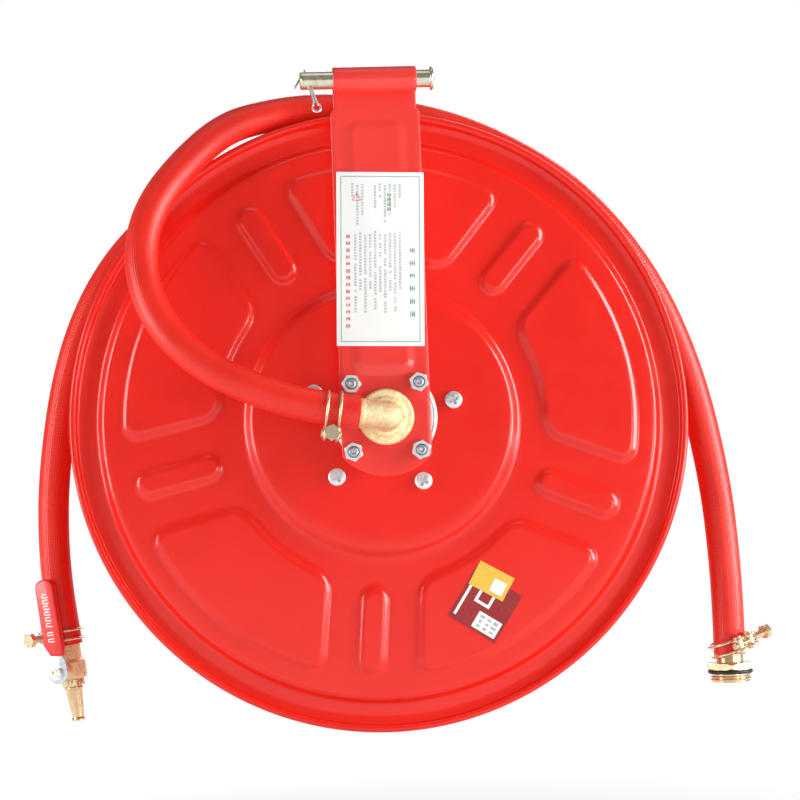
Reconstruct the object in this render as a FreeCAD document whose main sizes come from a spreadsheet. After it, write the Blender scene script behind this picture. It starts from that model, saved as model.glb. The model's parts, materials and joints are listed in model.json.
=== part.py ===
"""Swing-arm fire hose reel: a drum of 19 mm bore hose that hangs from a hinge pin on one flat arm.

Frame: millimetres, +X right, +Y away from the side with the inlet elbow, +Z up.  The origin is the
centre of the hinge pin, whose axis is X.  The drum turns about an axis along Y, hub_drop below it.
"""
import FreeCAD, Part
import math
import os
import Sketcher

os.makedirs("parts", exist_ok=True)
doc = FreeCAD.newDocument("fire_hose_reel")

# ---------------------------------------------------------------- driving dimensions
DIMENSIONS = {
    # hinge pin and the eye of the arm
    "hub_drop": 265.0, "pin_radius": 7.0, "pin_left": 58.5, "pin_right": 43.6, "pin_head_radius": 9.4,
    "pin_head_height": 3.9, "pin_head_edge": 0.6, "pin_head_rim": 1.0, "pin_head_dome": 3.0,
    "pin_chamfer": 1.0, "pin_hole_offset": 51.5, "pin_hole_radius": 2.3, "split_wire": 0.85,
    "split_bend": 1.5, "split_leg_offset": 1.0, "split_shank": 27.5, "split_eye_half_width": 3.6,
    "running_clearance": 0.07, "sheet": 3.0,
    # swing arm
    "eye_half_width": 32.7, "arm_half_width": 35.2, "neck_length": 22.0, "neck_taper": 3.0,
    "arm_end_radius": 46.4, "emboss_half_width": 24.0, "emboss_top": 31.0, "emboss_bottom": 231.0,
    "emboss_height": 2.0, "emboss_corner": 10.0,
    "label_half_width": 34.4, "label_height": 137.0, "label_centre_drop": 141.0,
    "label_thickness": 0.4, "label_turn": 1.8,
    # four studs that hold the elbow, arm and spindle flange together
    "stud_spacing": 53.0, "stud_radius": 4.0, "stud_hole_radius": 4.3, "nut_flats": 13.0, "nut_height": 8.0,
    "nut_hex_height": 6.0, "nut_collar_radius": 6.1, "stud_front": 2.6, "stud_inset": 0.5,
    # fixed water path
    "flange_radius": 41.0, "flange_thickness": 8.0, "flange_front_chamfer": 1.5,
    "flange_back_chamfer": 2.5, "spindle_radius": 15.0, "spindle_bore": 9.0,
    "spindle_end": 112.0, "spindle_bore_end": 92.0, "port_radius": 4.0, "elbow_base_radius": 22.0,
    "elbow_base_thickness": 5.0, "spigot_radius": 12.0, "spigot_end": 22.0, "elbow_bore": 8.0,
    "elbow_tube_radius": 11.0, "elbow_tube_depth": -13.0, "elbow_tube_length": 22.2, "elbow_rise": 8.0,
    "elbow_step_radius": 15.5, "elbow_step_height": 2.0, "elbow_riser_radius": 11.8, "spigot_clearance": 0.4,
    # rotating hub
    "hub_nose_radius": 32.0, "hub_start": 20.6, "hub_end": 108.0, "hub_barrel_radius": 30.0,
    "hub_flange_radius": 72.0, "hub_flange_thickness": 8.0, "hub_bore": 18.0, "bush_length": 20.0,
    "seal_section": 1.45, "washer_radius": 24.0, "washer_thickness": 2.0, "circlip_radius": 19.0,
    "circlip_groove": 13.6, "circlip_thickness": 1.5,
    # drum: two dished discs on a barrel; depths are measured along Y to each face of the front disc
    "disc_sheet": 1.5, "hub_face": 48.0, "dish_face": 55.0, "rim_face": 61.0, "hub_hole_radius": 34.0,
    "hub_step_inner": 104.0, "hub_step_outer": 111.0, "rim_step_inner": 222.0, "rim_step_outer": 228.0,
    "lip_root": 242.0, "lip_bead": 3.0, "disc_radius": 250.0, "drum_inner_width": 149.5,
    "barrel_radius": 100.0, "barrel_wall": 1.5, "barrel_hole_clearance": 1.5,
    "sector_inner": 129.0, "sector_outer": 208.0, "sector_inner_half": 45.0, "sector_outer_half": 91.0,
    "slot_inner": 133.0, "slot_outer": 204.0, "slot_half_width": 12.0, "press_height": 3.0,
    "drum_phase": 13.5,
    # five tie bolts through the drum
    "tie_circle_radius": 59.0, "tie_radius": 4.0, "tie_hole_radius": 4.3, "tie_head_radius": 7.0,
    "tie_head_height": 4.5, "tie_nut_flats": 13.0, "tie_nut_height": 7.0, "rear_plate_thickness": 4.0,
    "tie_bolt_tail": 3.0, "cap_radius": 40.0, "cap_height": 5.0, "cap_wall": 2.0, "cap_skirt": 7.0,
    # hose
    "hose_radius": 13.0, "hose_bore": 9.5, "barb_radius": 9.4, "barb_length": 20.0,
    "coil_inner": 100.6, "coil_outer": 232.0, "coil_margin": 2.0, "first_turn_radius": 113.7,
    "outlet_depth": 77.5, "outlet_angle": 121.5, "riser_radius": 9.0, "outlet_bore": 6.5,
    "outlet_barb_length": 45.0, "crimp_width": 10.0, "crimp_sheet": 0.5,
    # double-wire hose clamps
    "clamp_wire": 1.2, "clamp_gap": 12.0, "clamp_bolt_radius": 3.0, "clamp_head_flats": 11.0,
    "clamp_bolt_length": 34.0, "clamp_bolt_tip": 12.0, "clamp_head_height": 4.5, "clamp_hole_clearance": 0.1,
    "clamp_block_radius": 4.5, "slanted_ring_radius": 16.2, "coupling_clamp_tilt": 20.0,
    "inlet_clamp_spread": 5.0, "tail_clamp_spread": 3.75, "coupling_clamp_spread": 4.4,
    "inlet_clamp_place": 42.0, "tail_clamp_place": 8.5, "coupling_clamp_place": 7.0,
    # inlet coupling on the free end of the inlet hose
    "neck_radius": 11.0, "neck_end": 7.5, "coupling_flats": 36.0, "coupling_flats_end": 12.5,
    "coupling_flats_height": 5.2, "coupling_seal_radius": 18.4, "coupling_seal_section": 1.7,
    "seal_groove_end": 16.1, "thread_radius": 16.6, "thread_chamfer": 0.6, "coupling_end": 22.6,
    "coupling_bore": 9.0, "coupling_tail_bore": 7.5,
    # valve and nozzle on the free end of the hose
    "valve_tilt": -7.0, "valve_turn_in": -26.0, "valve_drop": 21.0, "valve_neck_radius": 10.5,
    "valve_body_radius": 13.0, "valve_bore": 4.5, "ball_radius": 8.0, "ball_cavity": 8.3,
    "ball_seat_gap": 6.5,
    "valve_shoulder": 8.5, "valve_body_below": 7.0, "valve_chamfer": 1.2, "seat_outer": 8.05,
    "ball_slot_width": 2.4, "ball_slot_depth": 2.5, "tongue_half_width": 1.1, "tongue_half_length": 2.6,
    "tongue_length": 2.3, "stem_tail": 6.0,
    "stem_radius": 3.5, "boss_radius": 8.0, "boss_reach": 16.5, "gland_flats": 12.0, "gland_height": 3.2,
    "lever_nut_flats": 9.0, "lever_nut_height": 3.5, "lever_offset": 20.0,
    "lever_sheet": 2.5, "lever_half_width": 9.5, "lever_length": 79.0, "grip_half_width": 9.0,
    "lever_waist": 2.6, "lever_waist_start": 9.0, "lever_waist_end": 14.0, "lever_top_corner": 6.0,
    "lever_end_gap": 2.0, "grip_start": 13.0, "grip_low_corner": 3.5, "grip_low_slant": 5.0,
    "grip_top_corner": 6.0, "grip_wall": 1.8, "grip_slack": 0.1,
    "nozzle_top_radius": 7.2, "nozzle_tip_radius": 4.9,
    "nozzle_flare": 5.6, "nozzle_lip": 1.4, "nozzle_waist": 3.0, "nozzle_bore": 4.5, "jet_radius": 3.0,
    "jet_length": 8.0, "nozzle_hex_height": 6.0, "nozzle_taper_length": 29.5, "nozzle_flats": 17.0,
}

sheet = doc.addObject("Spreadsheet::Sheet", "Sizes")
for row, (alias, number) in enumerate(DIMENSIONS.items(), start=1):
    sheet.set(f"A{row}", alias)
    sheet.set(f"B{row}", str(number))
    sheet.setAlias(f"B{row}", alias)
doc.recompute()


class Size:
    """A length with the spreadsheet expression that gives it."""

    def __init__(self, number, text):
        self.number = float(number)
        self.text = text

    def __add__(self, other):
        other = as_size(other)
        return Size(self.number + other.number, f"({self.text} + {other.text})")

    def __sub__(self, other):
        other = as_size(other)
        return Size(self.number - other.number, f"({self.text} - {other.text})")

    def __mul__(self, other):
        other = as_size(other)
        return Size(self.number * other.number, f"({self.text} * {other.text})")

    def __truediv__(self, other):
        other = as_size(other)
        return Size(self.number / other.number, f"({self.text} / {other.text})")

    def __neg__(self):
        return Size(-self.number, f"(-1 * {self.text})")

    __radd__ = __add__
    __rmul__ = __mul__

    def __rsub__(self, other):
        return as_size(other) - self


def as_size(value):
    return value if isinstance(value, Size) else Size(value, repr(float(value)))


def root(value):
    return Size(math.sqrt(value.number), f"sqrt({value.text})")


class Sizes:
    """Every cell of the sheet as an attribute."""


d = Sizes()
for alias, number in DIMENSIONS.items():
    setattr(d, alias, Size(number, f"Sizes.{alias}"))

# Faces and radii that several pieces share.
arm_front = d.pin_radius + d.running_clearance
arm_back = arm_front + d.sheet
flange_back = arm_back + d.flange_thickness
hub_flange_front = d.hub_face + d.disc_sheet
hub_flange_back = hub_flange_front + d.hub_flange_thickness
front_rim_inside = d.rim_face + d.disc_sheet
rear_rim_inside = front_rim_inside + d.drum_inner_width
mirror_depth = front_rim_inside + rear_rim_inside


def rear(depth):
    """The depth on the rear half of the drum that mirrors a depth on the front half."""
    return mirror_depth - depth


# ---------------------------------------------------------------- how pieces are made
nodes = {}


def new_body(label):
    body = doc.addObject("PartDesign::Body", label)
    body.Label = label
    nodes[label] = body
    return body


def new_sketch(body, name, plane):
    sketch = body.newObject("Sketcher::SketchObject", f"{body.Label}_{name}")
    support = next(f for f in body.Origin.OriginFeatures if f.Role == plane)
    sketch.AttachmentSupport = [(support, "")]
    sketch.MapMode = "FlatFace"
    return sketch


def bind(sketch, kind, where, value):
    """Add a dimension to a sketch and tie it to the sheet."""
    number = sketch.addConstraint(Sketcher.Constraint(kind, *where, value.number))
    sketch.setExpression(f"Constraints[{number}]", value.text)


def outline(sketch, points, arcs=None):
    """Draw one closed outline.

    arcs maps an edge's number to (centre x, centre y, radius, turn); turn is 1 for an arc that runs
    counter-clockwise and -1 for one that runs clockwise.
    """
    arcs = arcs or {}
    corners = [(as_size(x), as_size(y)) for x, y in points]
    first = sketch.GeometryCount
    count = len(corners)
    starts = {}
    for i, (x, y) in enumerate(corners):
        end_x, end_y = corners[(i + 1) % count]
        start_point = FreeCAD.Vector(x.number, y.number, 0)
        end_point = FreeCAD.Vector(end_x.number, end_y.number, 0)
        if i in arcs:
            centre_x, centre_y, radius, turn = arcs[i]
            centre = FreeCAD.Vector(as_size(centre_x).number, as_size(centre_y).number, 0)
            angles = [math.atan2(p.y - centre.y, p.x - centre.x) for p in (start_point, end_point)]
            circle = Part.Circle(centre, FreeCAD.Vector(0, 0, 1), radius.number)
            if turn < 0:
                angles.reverse()
            sketch.addGeometry(Part.ArcOfCircle(circle, *angles), False)
            starts[i] = (1, 2) if turn > 0 else (2, 1)
        else:
            sketch.addGeometry(Part.LineSegment(start_point, end_point), False)
            starts[i] = (1, 2)
    for i in range(count):
        following = (i + 1) % count
        ends = (first + i, starts[i][1], first + following, starts[following][0])
        sketch.addConstraint(Sketcher.Constraint("Coincident", *ends))
    for i, (x, y) in enumerate(corners):
        bind(sketch, "DistanceX", (-1, 1, first + i, starts[i][0]), x)
        bind(sketch, "DistanceY", (-1, 1, first + i, starts[i][0]), y)
    for i, (centre_x, centre_y, _, _) in arcs.items():
        x, y = corners[i]
        end_x, end_y = corners[(i + 1) % count]
        if abs(end_x.number - x.number) > abs(end_y.number - y.number):
            bind(sketch, "DistanceY", (-1, 1, first + i, 3), as_size(centre_y))
        else:
            bind(sketch, "DistanceX", (-1, 1, first + i, 3), as_size(centre_x))


def circle(sketch, x, y, radius):
    centre_x, centre_y, size = as_size(x), as_size(y), as_size(radius)
    centre = FreeCAD.Vector(centre_x.number, centre_y.number, 0)
    number = sketch.addGeometry(Part.Circle(centre, FreeCAD.Vector(0, 0, 1), size.number), False)
    bind(sketch, "DistanceX", (-1, 1, number, 3), centre_x)
    bind(sketch, "DistanceY", (-1, 1, number, 3), centre_y)
    bind(sketch, "Radius", (number,), size)


def hexagon(sketch, x, y, flats, phase=0.0):
    """A hexagon whose first corner is at the angle phase, in degrees."""
    corner = as_size(flats) / math.sqrt(3)
    angles = [math.radians(phase + 60 * i) for i in range(6)]
    outline(sketch, [(x + corner * math.cos(a), y + corner * math.sin(a)) for a in angles])


def volume(body):
    doc.recompute()
    return body.Shape.Volume if not body.Shape.isNull() else 0.0


def revolve(body, name, plane, points, axis="V_Axis", arcs=None):
    sketch = new_sketch(body, name, plane)
    outline(sketch, points, arcs)
    feature = body.newObject("PartDesign::Revolution", f"{body.Label}_{name}_turn")
    feature.Profile = sketch
    feature.ReferenceAxis = (sketch, [axis])
    feature.Angle = 360
    return feature


def groove(body, name, plane, points, axis="V_Axis"):
    before = volume(body)
    sketch = new_sketch(body, name, plane)
    outline(sketch, points)
    feature = body.newObject("PartDesign::Groove", f"{body.Label}_{name}_groove")
    feature.Profile = sketch
    feature.ReferenceAxis = (sketch, [axis])
    feature.Angle = 360
    if not volume(body) < before:
        raise RuntimeError(f"{body.Label}: {name} cut nothing")


def place_sketch(sketch, depth):
    """Move a sketch along the normal of its plane."""
    sketch.setExpression(".AttachmentOffset.Base.z", as_size(depth).text)


def pad(body, sketch, length, midplane=False, reverse=False):
    feature = body.newObject("PartDesign::Pad", f"{sketch.Label}_pad")
    feature.Profile = sketch
    if midplane:
        feature.Midplane = True
    feature.Reversed = reverse
    feature.setExpression("Length", as_size(length).text)
    return feature


def cut(body, sketch, length, midplane=False, reverse=False):
    """A pocket that has to take material away."""
    before = volume(body)
    feature = body.newObject("PartDesign::Pocket", f"{sketch.Label}_pocket")
    feature.Profile = sketch
    if midplane:
        feature.Midplane = True
    feature.Reversed = reverse
    feature.setExpression("Length", as_size(length).text)
    if not volume(body) < before:
        raise RuntimeError(f"{body.Label}: {sketch.Label} cut nothing")


def around_axis(body, features, count, axis):
    """Repeat features evenly around one of the body's own axes."""
    pattern = body.newObject("PartDesign::PolarPattern", f"{body.Label}_ring_{len(body.Group)}")
    pattern.Originals = features
    line = next(f for f in body.Origin.OriginFeatures if f.Role == axis)
    pattern.Axis = (line, [""])
    pattern.Angle = 360
    pattern.Occurrences = count
    body.Tip = pattern
    return pattern


def on_drum_axis(body):
    body.setExpression(".Placement.Base.z", (-d.hub_drop).text)


def turned_on_drum_axis(label, points):
    """A piece turned about the drum axis: points are (radius, depth)."""
    body = new_body(label)
    revolve(body, "section", "XY_Plane", points)
    on_drum_axis(body)
    return body


def ring_points(inner, outer, start, end):
    return [(inner, start), (outer, start), (outer, end), (inner, end)]


def polar(radius, degrees):
    return radius * math.cos(math.radians(degrees)), radius * math.sin(math.radians(degrees))


def feature(label, shape):
    """A piece whose shape is worked out from the sheet in code."""
    item = doc.addObject("Part::Feature", label)
    item.Label = label
    item.Shape = shape
    nodes[label] = item
    return item


# ---------------------------------------------------------------- hinge pin, held by the wall bracket
def make_hinge_pin():
    body = doc.addObject("PartDesign::Body", "hinge_pin_turned")
    body.Label = "hinge_pin_turned"
    head_start = d.pin_right
    head_end = d.pin_right + d.pin_head_height
    rim_start = head_start + d.pin_head_edge
    edge = d.pin_radius - d.pin_chamfer
    points = [(-d.pin_left, 0), (-d.pin_left, edge), (-d.pin_left + d.pin_chamfer, d.pin_radius),
              (head_start, d.pin_radius), (head_start, d.pin_head_radius - d.pin_head_edge),
              (rim_start, d.pin_head_radius), (rim_start + d.pin_head_rim, d.pin_head_radius),
              (head_end - d.pin_head_edge / 2, d.pin_head_radius - d.pin_head_dome),
              (head_end, d.pin_head_radius - 2 * d.pin_head_dome), (head_end, 0)]
    revolve(body, "section", "XY_Plane", points, axis="H_Axis")
    hole = doc.addObject("Part::Cylinder", "hinge_pin_hole")
    hole.setExpression("Radius", d.pin_hole_radius.text)
    hole.setExpression("Height", (4 * d.pin_radius).text)
    hole.Placement = FreeCAD.Placement(split_pin_point(-2 * d.pin_radius.number), split_pin_turn())
    pin = doc.addObject("Part::Cut", "hinge_pin")
    pin.Label = "hinge_pin"
    pin.Base = body
    pin.Tool = hole
    nodes["hinge_pin"] = pin


SPLIT_PIN_DIRECTION = FreeCAD.Vector(0.15, -0.6, -0.79).normalize()


def split_pin_turn():
    return FreeCAD.Rotation(FreeCAD.Vector(0, 0, 1), SPLIT_PIN_DIRECTION)


def split_pin_point(along, across=0.0):
    """A point measured along the split pin from the hinge pin's axis, towards its eye."""
    centre = FreeCAD.Vector(-d.pin_hole_offset.number, 0, 0)
    side = SPLIT_PIN_DIRECTION.cross(FreeCAD.Vector(0, 1, 0)).normalize()
    return centre + SPLIT_PIN_DIRECTION * along + side * across


def wire_rod(points, radius, bend):
    """A round rod along straight runs joined by tangent arcs; bend is the arcs' radius."""
    path, _ = rounded_path(points, lambda run, half_turn: bend)
    return sweep(path, radius)


def make_split_pin():
    """Two legs through the pin and an eye below it; the first leg's end is bent round the pin's tip."""
    reach, shank = d.split_leg_offset.number, d.split_shank.number
    eye_half = d.split_eye_half_width.number
    bent_tip = [FreeCAD.Vector(-62.5, 7.0, -4.0), FreeCAD.Vector(-55.0, 8.9, 6.5)]
    eye = [split_pin_point(shank + 4.0, eye_half), split_pin_point(shank + 8.4),
           split_pin_point(shank + 4.0, -eye_half)]
    points = [*bent_tip, split_pin_point(-9.5, reach), split_pin_point(shank, reach), *eye,
              split_pin_point(shank, -reach), split_pin_point(-13.0, -reach)]
    feature("split_pin", wire_rod(points, d.split_wire.number, d.split_bend.number))


# ---------------------------------------------------------------- paths of hoses and wires
def rounded_path(points, bend):
    """Straight runs joined by tangent arcs.  bend(shorter run, tangent of half the turn) is a radius."""
    edges = []
    radii = []
    start = points[0]
    for before, corner, after in zip(points, points[1:], points[2:]):
        arriving = (corner - before).normalize()
        leaving = (after - corner).normalize()
        half_turn = math.tan(arriving.getAngle(leaving) / 2)
        run = min(before.distanceToPoint(corner), corner.distanceToPoint(after))
        radius = bend(run, half_turn)
        radii.append(radius)
        cut_back = radius * half_turn
        arc_start = corner - arriving * cut_back
        arc_end = corner + leaving * cut_back
        inward = (leaving - arriving).normalize()
        centre = corner + inward * math.hypot(radius, cut_back)
        middle = centre - inward * radius
        edges.append(Part.LineSegment(start, arc_start).toShape())
        edges.append(Part.Arc(arc_start, middle, arc_end).toShape())
        start = arc_end
    edges.append(Part.LineSegment(start, points[-1]).toShape())
    return Part.Wire(edges), radii


def sweep(path, radius):
    start = path.Edges[0].valueAt(path.Edges[0].FirstParameter)
    heading = path.Edges[0].tangentAt(path.Edges[0].FirstParameter)
    section = Part.Wire(Part.makeCircle(radius, start, heading))
    return path.makePipeShell([section], True, False)


MIN_BEND = 6.0  # the tightest bend allowed on a hose, in hose radii


def make_hose(label, points):
    """A hollow hose along its route, with its length, radii and volume checked."""
    path, radii = rounded_path(points, lambda run, half_turn: 0.45 * run / half_turn)
    outer, bore = d.hose_radius.number, d.hose_bore.number
    shape = sweep(path, outer).cut(sweep(path, bore))
    expected = math.pi * (outer ** 2 - bore ** 2) * path.Length
    print(f"{label}: length {path.Length:.0f}, volume ratio {shape.Volume / expected:.4f}, radii",
          " ".join(f"{radius:.0f}" for radius in radii))
    if abs(shape.Volume / expected - 1) > 0.01 or min(radii) < MIN_BEND * outer:
        raise RuntimeError(f"{label} isn't a sound hose")
    feature(label, shape)


# ---------------------------------------------------------------- swing arm
def make_swing_arm():
    body = new_body("swing_arm")
    plate = new_sketch(body, "plate", "XZ_Plane")
    end_drop = root(d.arm_end_radius * d.arm_end_radius - d.arm_half_width * d.arm_half_width)
    side_end = -(d.hub_drop + end_drop)
    taper_end = -(d.neck_length + d.neck_taper)
    points = [(-d.eye_half_width, 0), (-d.eye_half_width, -d.neck_length), (-d.arm_half_width, taper_end),
              (-d.arm_half_width, side_end), (d.arm_half_width, side_end), (d.arm_half_width, taper_end),
              (d.eye_half_width, -d.neck_length), (d.eye_half_width, 0)]
    outline(plate, points, {3: (0, -d.hub_drop, d.arm_end_radius, 1)})
    place_sketch(plate, -arm_back)
    pad(body, plate, d.sheet)
    raised = new_sketch(body, "stiffener", "XZ_Plane")
    corner = d.emboss_corner
    half, top, bottom = d.emboss_half_width, -d.emboss_top, -d.emboss_bottom
    outline(raised, [(-half + corner, top), (-half, top - corner), (-half, bottom + corner),
                     (-half + corner, bottom), (half - corner, bottom), (half, bottom + corner),
                     (half, top - corner), (half - corner, top)])
    place_sketch(raised, -arm_front)
    pad(body, raised, d.emboss_height)
    eye = new_sketch(body, "eye", "YZ_Plane")
    circle(eye, 0, 0, arm_back)
    pad(body, eye, 2 * d.eye_half_width, midplane=True)
    bore = new_sketch(body, "eye_bore", "YZ_Plane")
    circle(bore, 0, 0, arm_front)
    cut(body, bore, 4 * d.eye_half_width, midplane=True)
    holes = new_sketch(body, "holes", "XZ_Plane")
    circle(holes, 0, -d.hub_drop, d.spigot_radius + d.spigot_clearance)
    for x, z in square_centres():
        circle(holes, x, z - d.hub_drop, d.stud_hole_radius)
    cut(body, holes, 4 * arm_back, midplane=True)


def make_label_plate():
    body = new_body("label_plate")
    card = new_sketch(body, "card", "XZ_Plane")
    half, tall = d.label_half_width, d.label_height / 2
    outline(card, [(-half, -tall), (half, -tall), (half, tall), (-half, tall)])
    pad(body, card, d.label_thickness)
    body.Placement.Rotation = FreeCAD.Rotation(FreeCAD.Vector(0, 1, 0), d.label_turn.number)
    body.setExpression(".Placement.Base.y", (arm_front - d.emboss_height).text)
    body.setExpression(".Placement.Base.z", (-d.label_centre_drop).text)


def square_centres():
    half = d.stud_spacing / 2
    return [(side * half, level * half) for side in (-1, 1) for level in (-1, 1)]


def make_arm_studs():
    body = new_body("arm_studs")
    section = new_sketch(body, "shanks", "XZ_Plane")
    for x, z in square_centres():
        circle(section, x, z, d.stud_radius)
    stud_back = flange_back - d.stud_inset
    place_sketch(section, -stud_back)
    pad(body, section, stud_back - arm_front + d.nut_height + d.stud_front)
    on_drum_axis(body)


def make_arm_nuts():
    body = new_body("arm_nuts")
    hexes = new_sketch(body, "hexes", "XZ_Plane")
    for number, (x, z) in enumerate(square_centres()):
        hexagon(hexes, x, z, d.nut_flats, 11.0 * number)
    place_sketch(hexes, -arm_front)
    pad(body, hexes, d.nut_hex_height)
    collars = new_sketch(body, "collars", "XZ_Plane")
    for x, z in square_centres():
        circle(collars, x, z, d.nut_collar_radius)
    place_sketch(collars, -arm_front)
    pad(body, collars, d.nut_height)
    holes = new_sketch(body, "threads", "XZ_Plane")
    for x, z in square_centres():
        circle(holes, x, z, d.stud_radius)
    place_sketch(holes, -arm_front)
    cut(body, holes, 2 * d.nut_height, reverse=True)
    on_drum_axis(body)


# ---------------------------------------------------------------- fixed water path
def make_spindle_flange():
    body = turned_on_drum_axis("spindle_flange", [
        (d.spindle_radius, arm_back), (d.flange_radius - d.flange_front_chamfer, arm_back),
        (d.flange_radius, arm_back + d.flange_front_chamfer),
        (d.flange_radius, flange_back - d.flange_back_chamfer),
        (d.flange_radius - d.flange_back_chamfer, flange_back), (d.spindle_radius, flange_back)])
    holes = new_sketch(body, "threads", "XZ_Plane")
    for x, z in square_centres():
        circle(holes, x, z, d.stud_radius)
    cut(body, holes, 4 * flange_back, midplane=True)


def make_spindle():
    ledge = d.spigot_radius + 0.1
    body = turned_on_drum_axis("spindle", [
        (ledge, arm_back), (d.spindle_radius, arm_back),
        (d.spindle_radius, d.hub_end + 0.4), (d.circlip_groove, d.hub_end + 0.4),
        (d.circlip_groove, d.hub_end + 0.4 + d.circlip_thickness),
        (d.spindle_radius, d.hub_end + 0.4 + d.circlip_thickness), (d.spindle_radius, d.spindle_end - 1.0),
        (d.spindle_radius - 1.0, d.spindle_end), (0, d.spindle_end), (0, d.spindle_bore_end),
        (d.spindle_bore, d.spindle_bore_end), (d.spindle_bore, d.spigot_end), (ledge, d.spigot_end)])
    for number, plane in enumerate(("XY_Plane", "YZ_Plane")):
        ports = new_sketch(body, f"ports_{number}", plane)
        if plane == "XY_Plane":
            circle(ports, 0, d.outlet_depth, d.port_radius)
        else:
            circle(ports, d.outlet_depth, 0, d.port_radius)
        cut(body, ports, 4 * d.spindle_radius, midplane=True)


def elbow_point(along):
    """A point of the elbow's outlet, measured from the drum axis."""
    rise = math.radians(d.elbow_rise.number)
    height = along * math.sin(rise) - d.hub_drop.number
    return FreeCAD.Vector(-along * math.cos(rise), d.elbow_tube_depth.number, height)


def rod_between(start, end, radius):
    axis = end - start
    return Part.makeCylinder(radius, axis.Length, start, axis)


def make_inlet_elbow():
    base_start = arm_front.number - d.elbow_base_thickness.number
    centre = elbow_point(0)
    backward = FreeCAD.Vector(0, 1, 0)
    axis_at = FreeCAD.Vector(0, base_start, -d.hub_drop.number)
    base = Part.makeCylinder(d.elbow_base_radius.number, d.elbow_base_thickness.number, axis_at, backward)
    step_height = d.elbow_step_height.number
    step_at = axis_at - backward * step_height
    step = Part.makeCylinder(d.elbow_step_radius.number, step_height, step_at, backward)
    tube_radius = d.elbow_tube_radius.number
    riser = rod_between(centre, axis_at + backward, d.elbow_riser_radius.number)
    knee = Part.makeSphere(tube_radius, centre)
    outlet = rod_between(centre, elbow_point(d.elbow_tube_length.number), tube_radius)
    barb_end = d.elbow_tube_length.number + d.barb_length.number
    barb = rod_between(centre, elbow_point(barb_end), d.barb_radius.number)
    spigot_start = FreeCAD.Vector(0, arm_front.number - 1, -d.hub_drop.number)
    spigot_end = FreeCAD.Vector(0, d.spigot_end.number - 0.1, -d.hub_drop.number)
    spigot = rod_between(spigot_start, spigot_end, d.spigot_radius.number)
    solid = base.fuse([step, riser, knee, outlet, barb, spigot])
    bore = rod_between(centre, spigot_end + backward, d.elbow_bore.number)
    side_bore = rod_between(centre, elbow_point(barb_end + 1), d.elbow_bore.number - 1)
    feature("inlet_elbow", solid.cut(bore.fuse([side_bore])).removeSplitter())


def make_elbow_seal():
    """A flat ring that fills the gap between the elbow's spigot and the arm's hole."""
    turned_on_drum_axis("elbow_seal", ring_points(
        d.spigot_radius + 0.05, d.spigot_radius + 0.35, arm_front + 0.1, arm_back - 0.1))


def make_bearings():
    turned_on_drum_axis("thrust_washer", ring_points(
        d.spindle_radius + 0.3, d.washer_radius, flange_back + 0.1, flange_back + 0.1 + d.washer_thickness))
    bush_bore = d.spindle_radius + d.running_clearance
    bush_outer = d.hub_bore - 0.02
    for label, start in (("front_bush", d.hub_start + 0.4), ("rear_bush", d.hub_end - d.bush_length - 0.4)):
        turned_on_drum_axis(label, ring_points(bush_bore, bush_outer, start, start + d.bush_length))
    turned_on_drum_axis("retaining_ring", ring_points(
        d.circlip_groove + 0.1, d.circlip_radius, d.hub_end + 0.5, d.hub_end + 0.3 + d.circlip_thickness))
    seals = new_body("spindle_seals")
    for number, depth in enumerate((d.outlet_depth - 22.0, d.outlet_depth - 15.0)):
        add_seal(seals, number, depth)
    on_drum_axis(seals)


def add_seal(body, number, depth):
    sketch = new_sketch(body, f"ring_{number}", "XY_Plane")
    circle(sketch, d.spindle_radius + 0.06 + d.seal_section, depth, d.seal_section)
    turn = body.newObject("PartDesign::Revolution", f"{body.Label}_turn_{number}")
    turn.Profile = sketch
    turn.ReferenceAxis = (sketch, ["V_Axis"])
    turn.Angle = 360


# ---------------------------------------------------------------- drum
def disc_section():
    """The front disc's section as (radius, depth); its lip is added as a rolled bead."""
    lip_start = d.lip_root + 1.0
    front = [(d.hub_hole_radius, d.hub_face), (d.hub_step_inner, d.hub_face),
             (d.hub_step_outer, d.dish_face), (d.rim_step_inner, d.dish_face),
             (d.rim_step_outer, d.rim_face), (d.lip_root, d.rim_face),
             (d.disc_radius - 3.6, d.rim_face - 2.8)]
    back = [(d.disc_radius - 2.0, d.rim_face - 0.5), (lip_start, d.rim_face + d.disc_sheet),
            (d.rim_step_outer - 0.6, d.rim_face + d.disc_sheet),
            (d.rim_step_inner - 0.6, d.dish_face + d.disc_sheet),
            (d.hub_step_outer - 0.6, d.dish_face + d.disc_sheet),
            (d.hub_step_inner - 0.6, d.hub_face + d.disc_sheet),
            (d.hub_hole_radius, d.hub_face + d.disc_sheet)]
    return front + back


def make_disc(label, facing):
    """A pressed disc; facing is 1 for the front one and -1 for the rear one, which mirrors it."""
    body = new_body(label)
    depth = (lambda y: as_size(y)) if facing > 0 else rear
    section = [(radius, depth(y)) for radius, y in disc_section()]
    revolve(body, "section", "XY_Plane", section if facing > 0 else section[::-1])
    lip = new_sketch(body, "lip", "XY_Plane")
    circle(lip, d.disc_radius - d.lip_bead, depth(d.dish_face + d.lip_bead), d.lip_bead)
    roll = body.newObject("PartDesign::Revolution", f"{label}_lip_turn")
    roll.Profile = lip
    roll.ReferenceAxis = (lip, ["V_Axis"])
    roll.Angle = 360
    pressings = []
    for name, points, arcs in (("sector", *sector_outline()), ("slot", *slot_outline())):
        sketch = new_sketch(body, name, "XZ_Plane")
        outline(sketch, points, arcs)
        place_sketch(sketch, -depth(d.dish_face + d.disc_sheet / 2))
        pressings.append(pad(body, sketch, d.press_height + d.disc_sheet / 2, reverse=facing < 0))
    around_axis(body, pressings, 5, "Y_Axis")
    tie_holes(body)


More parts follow.
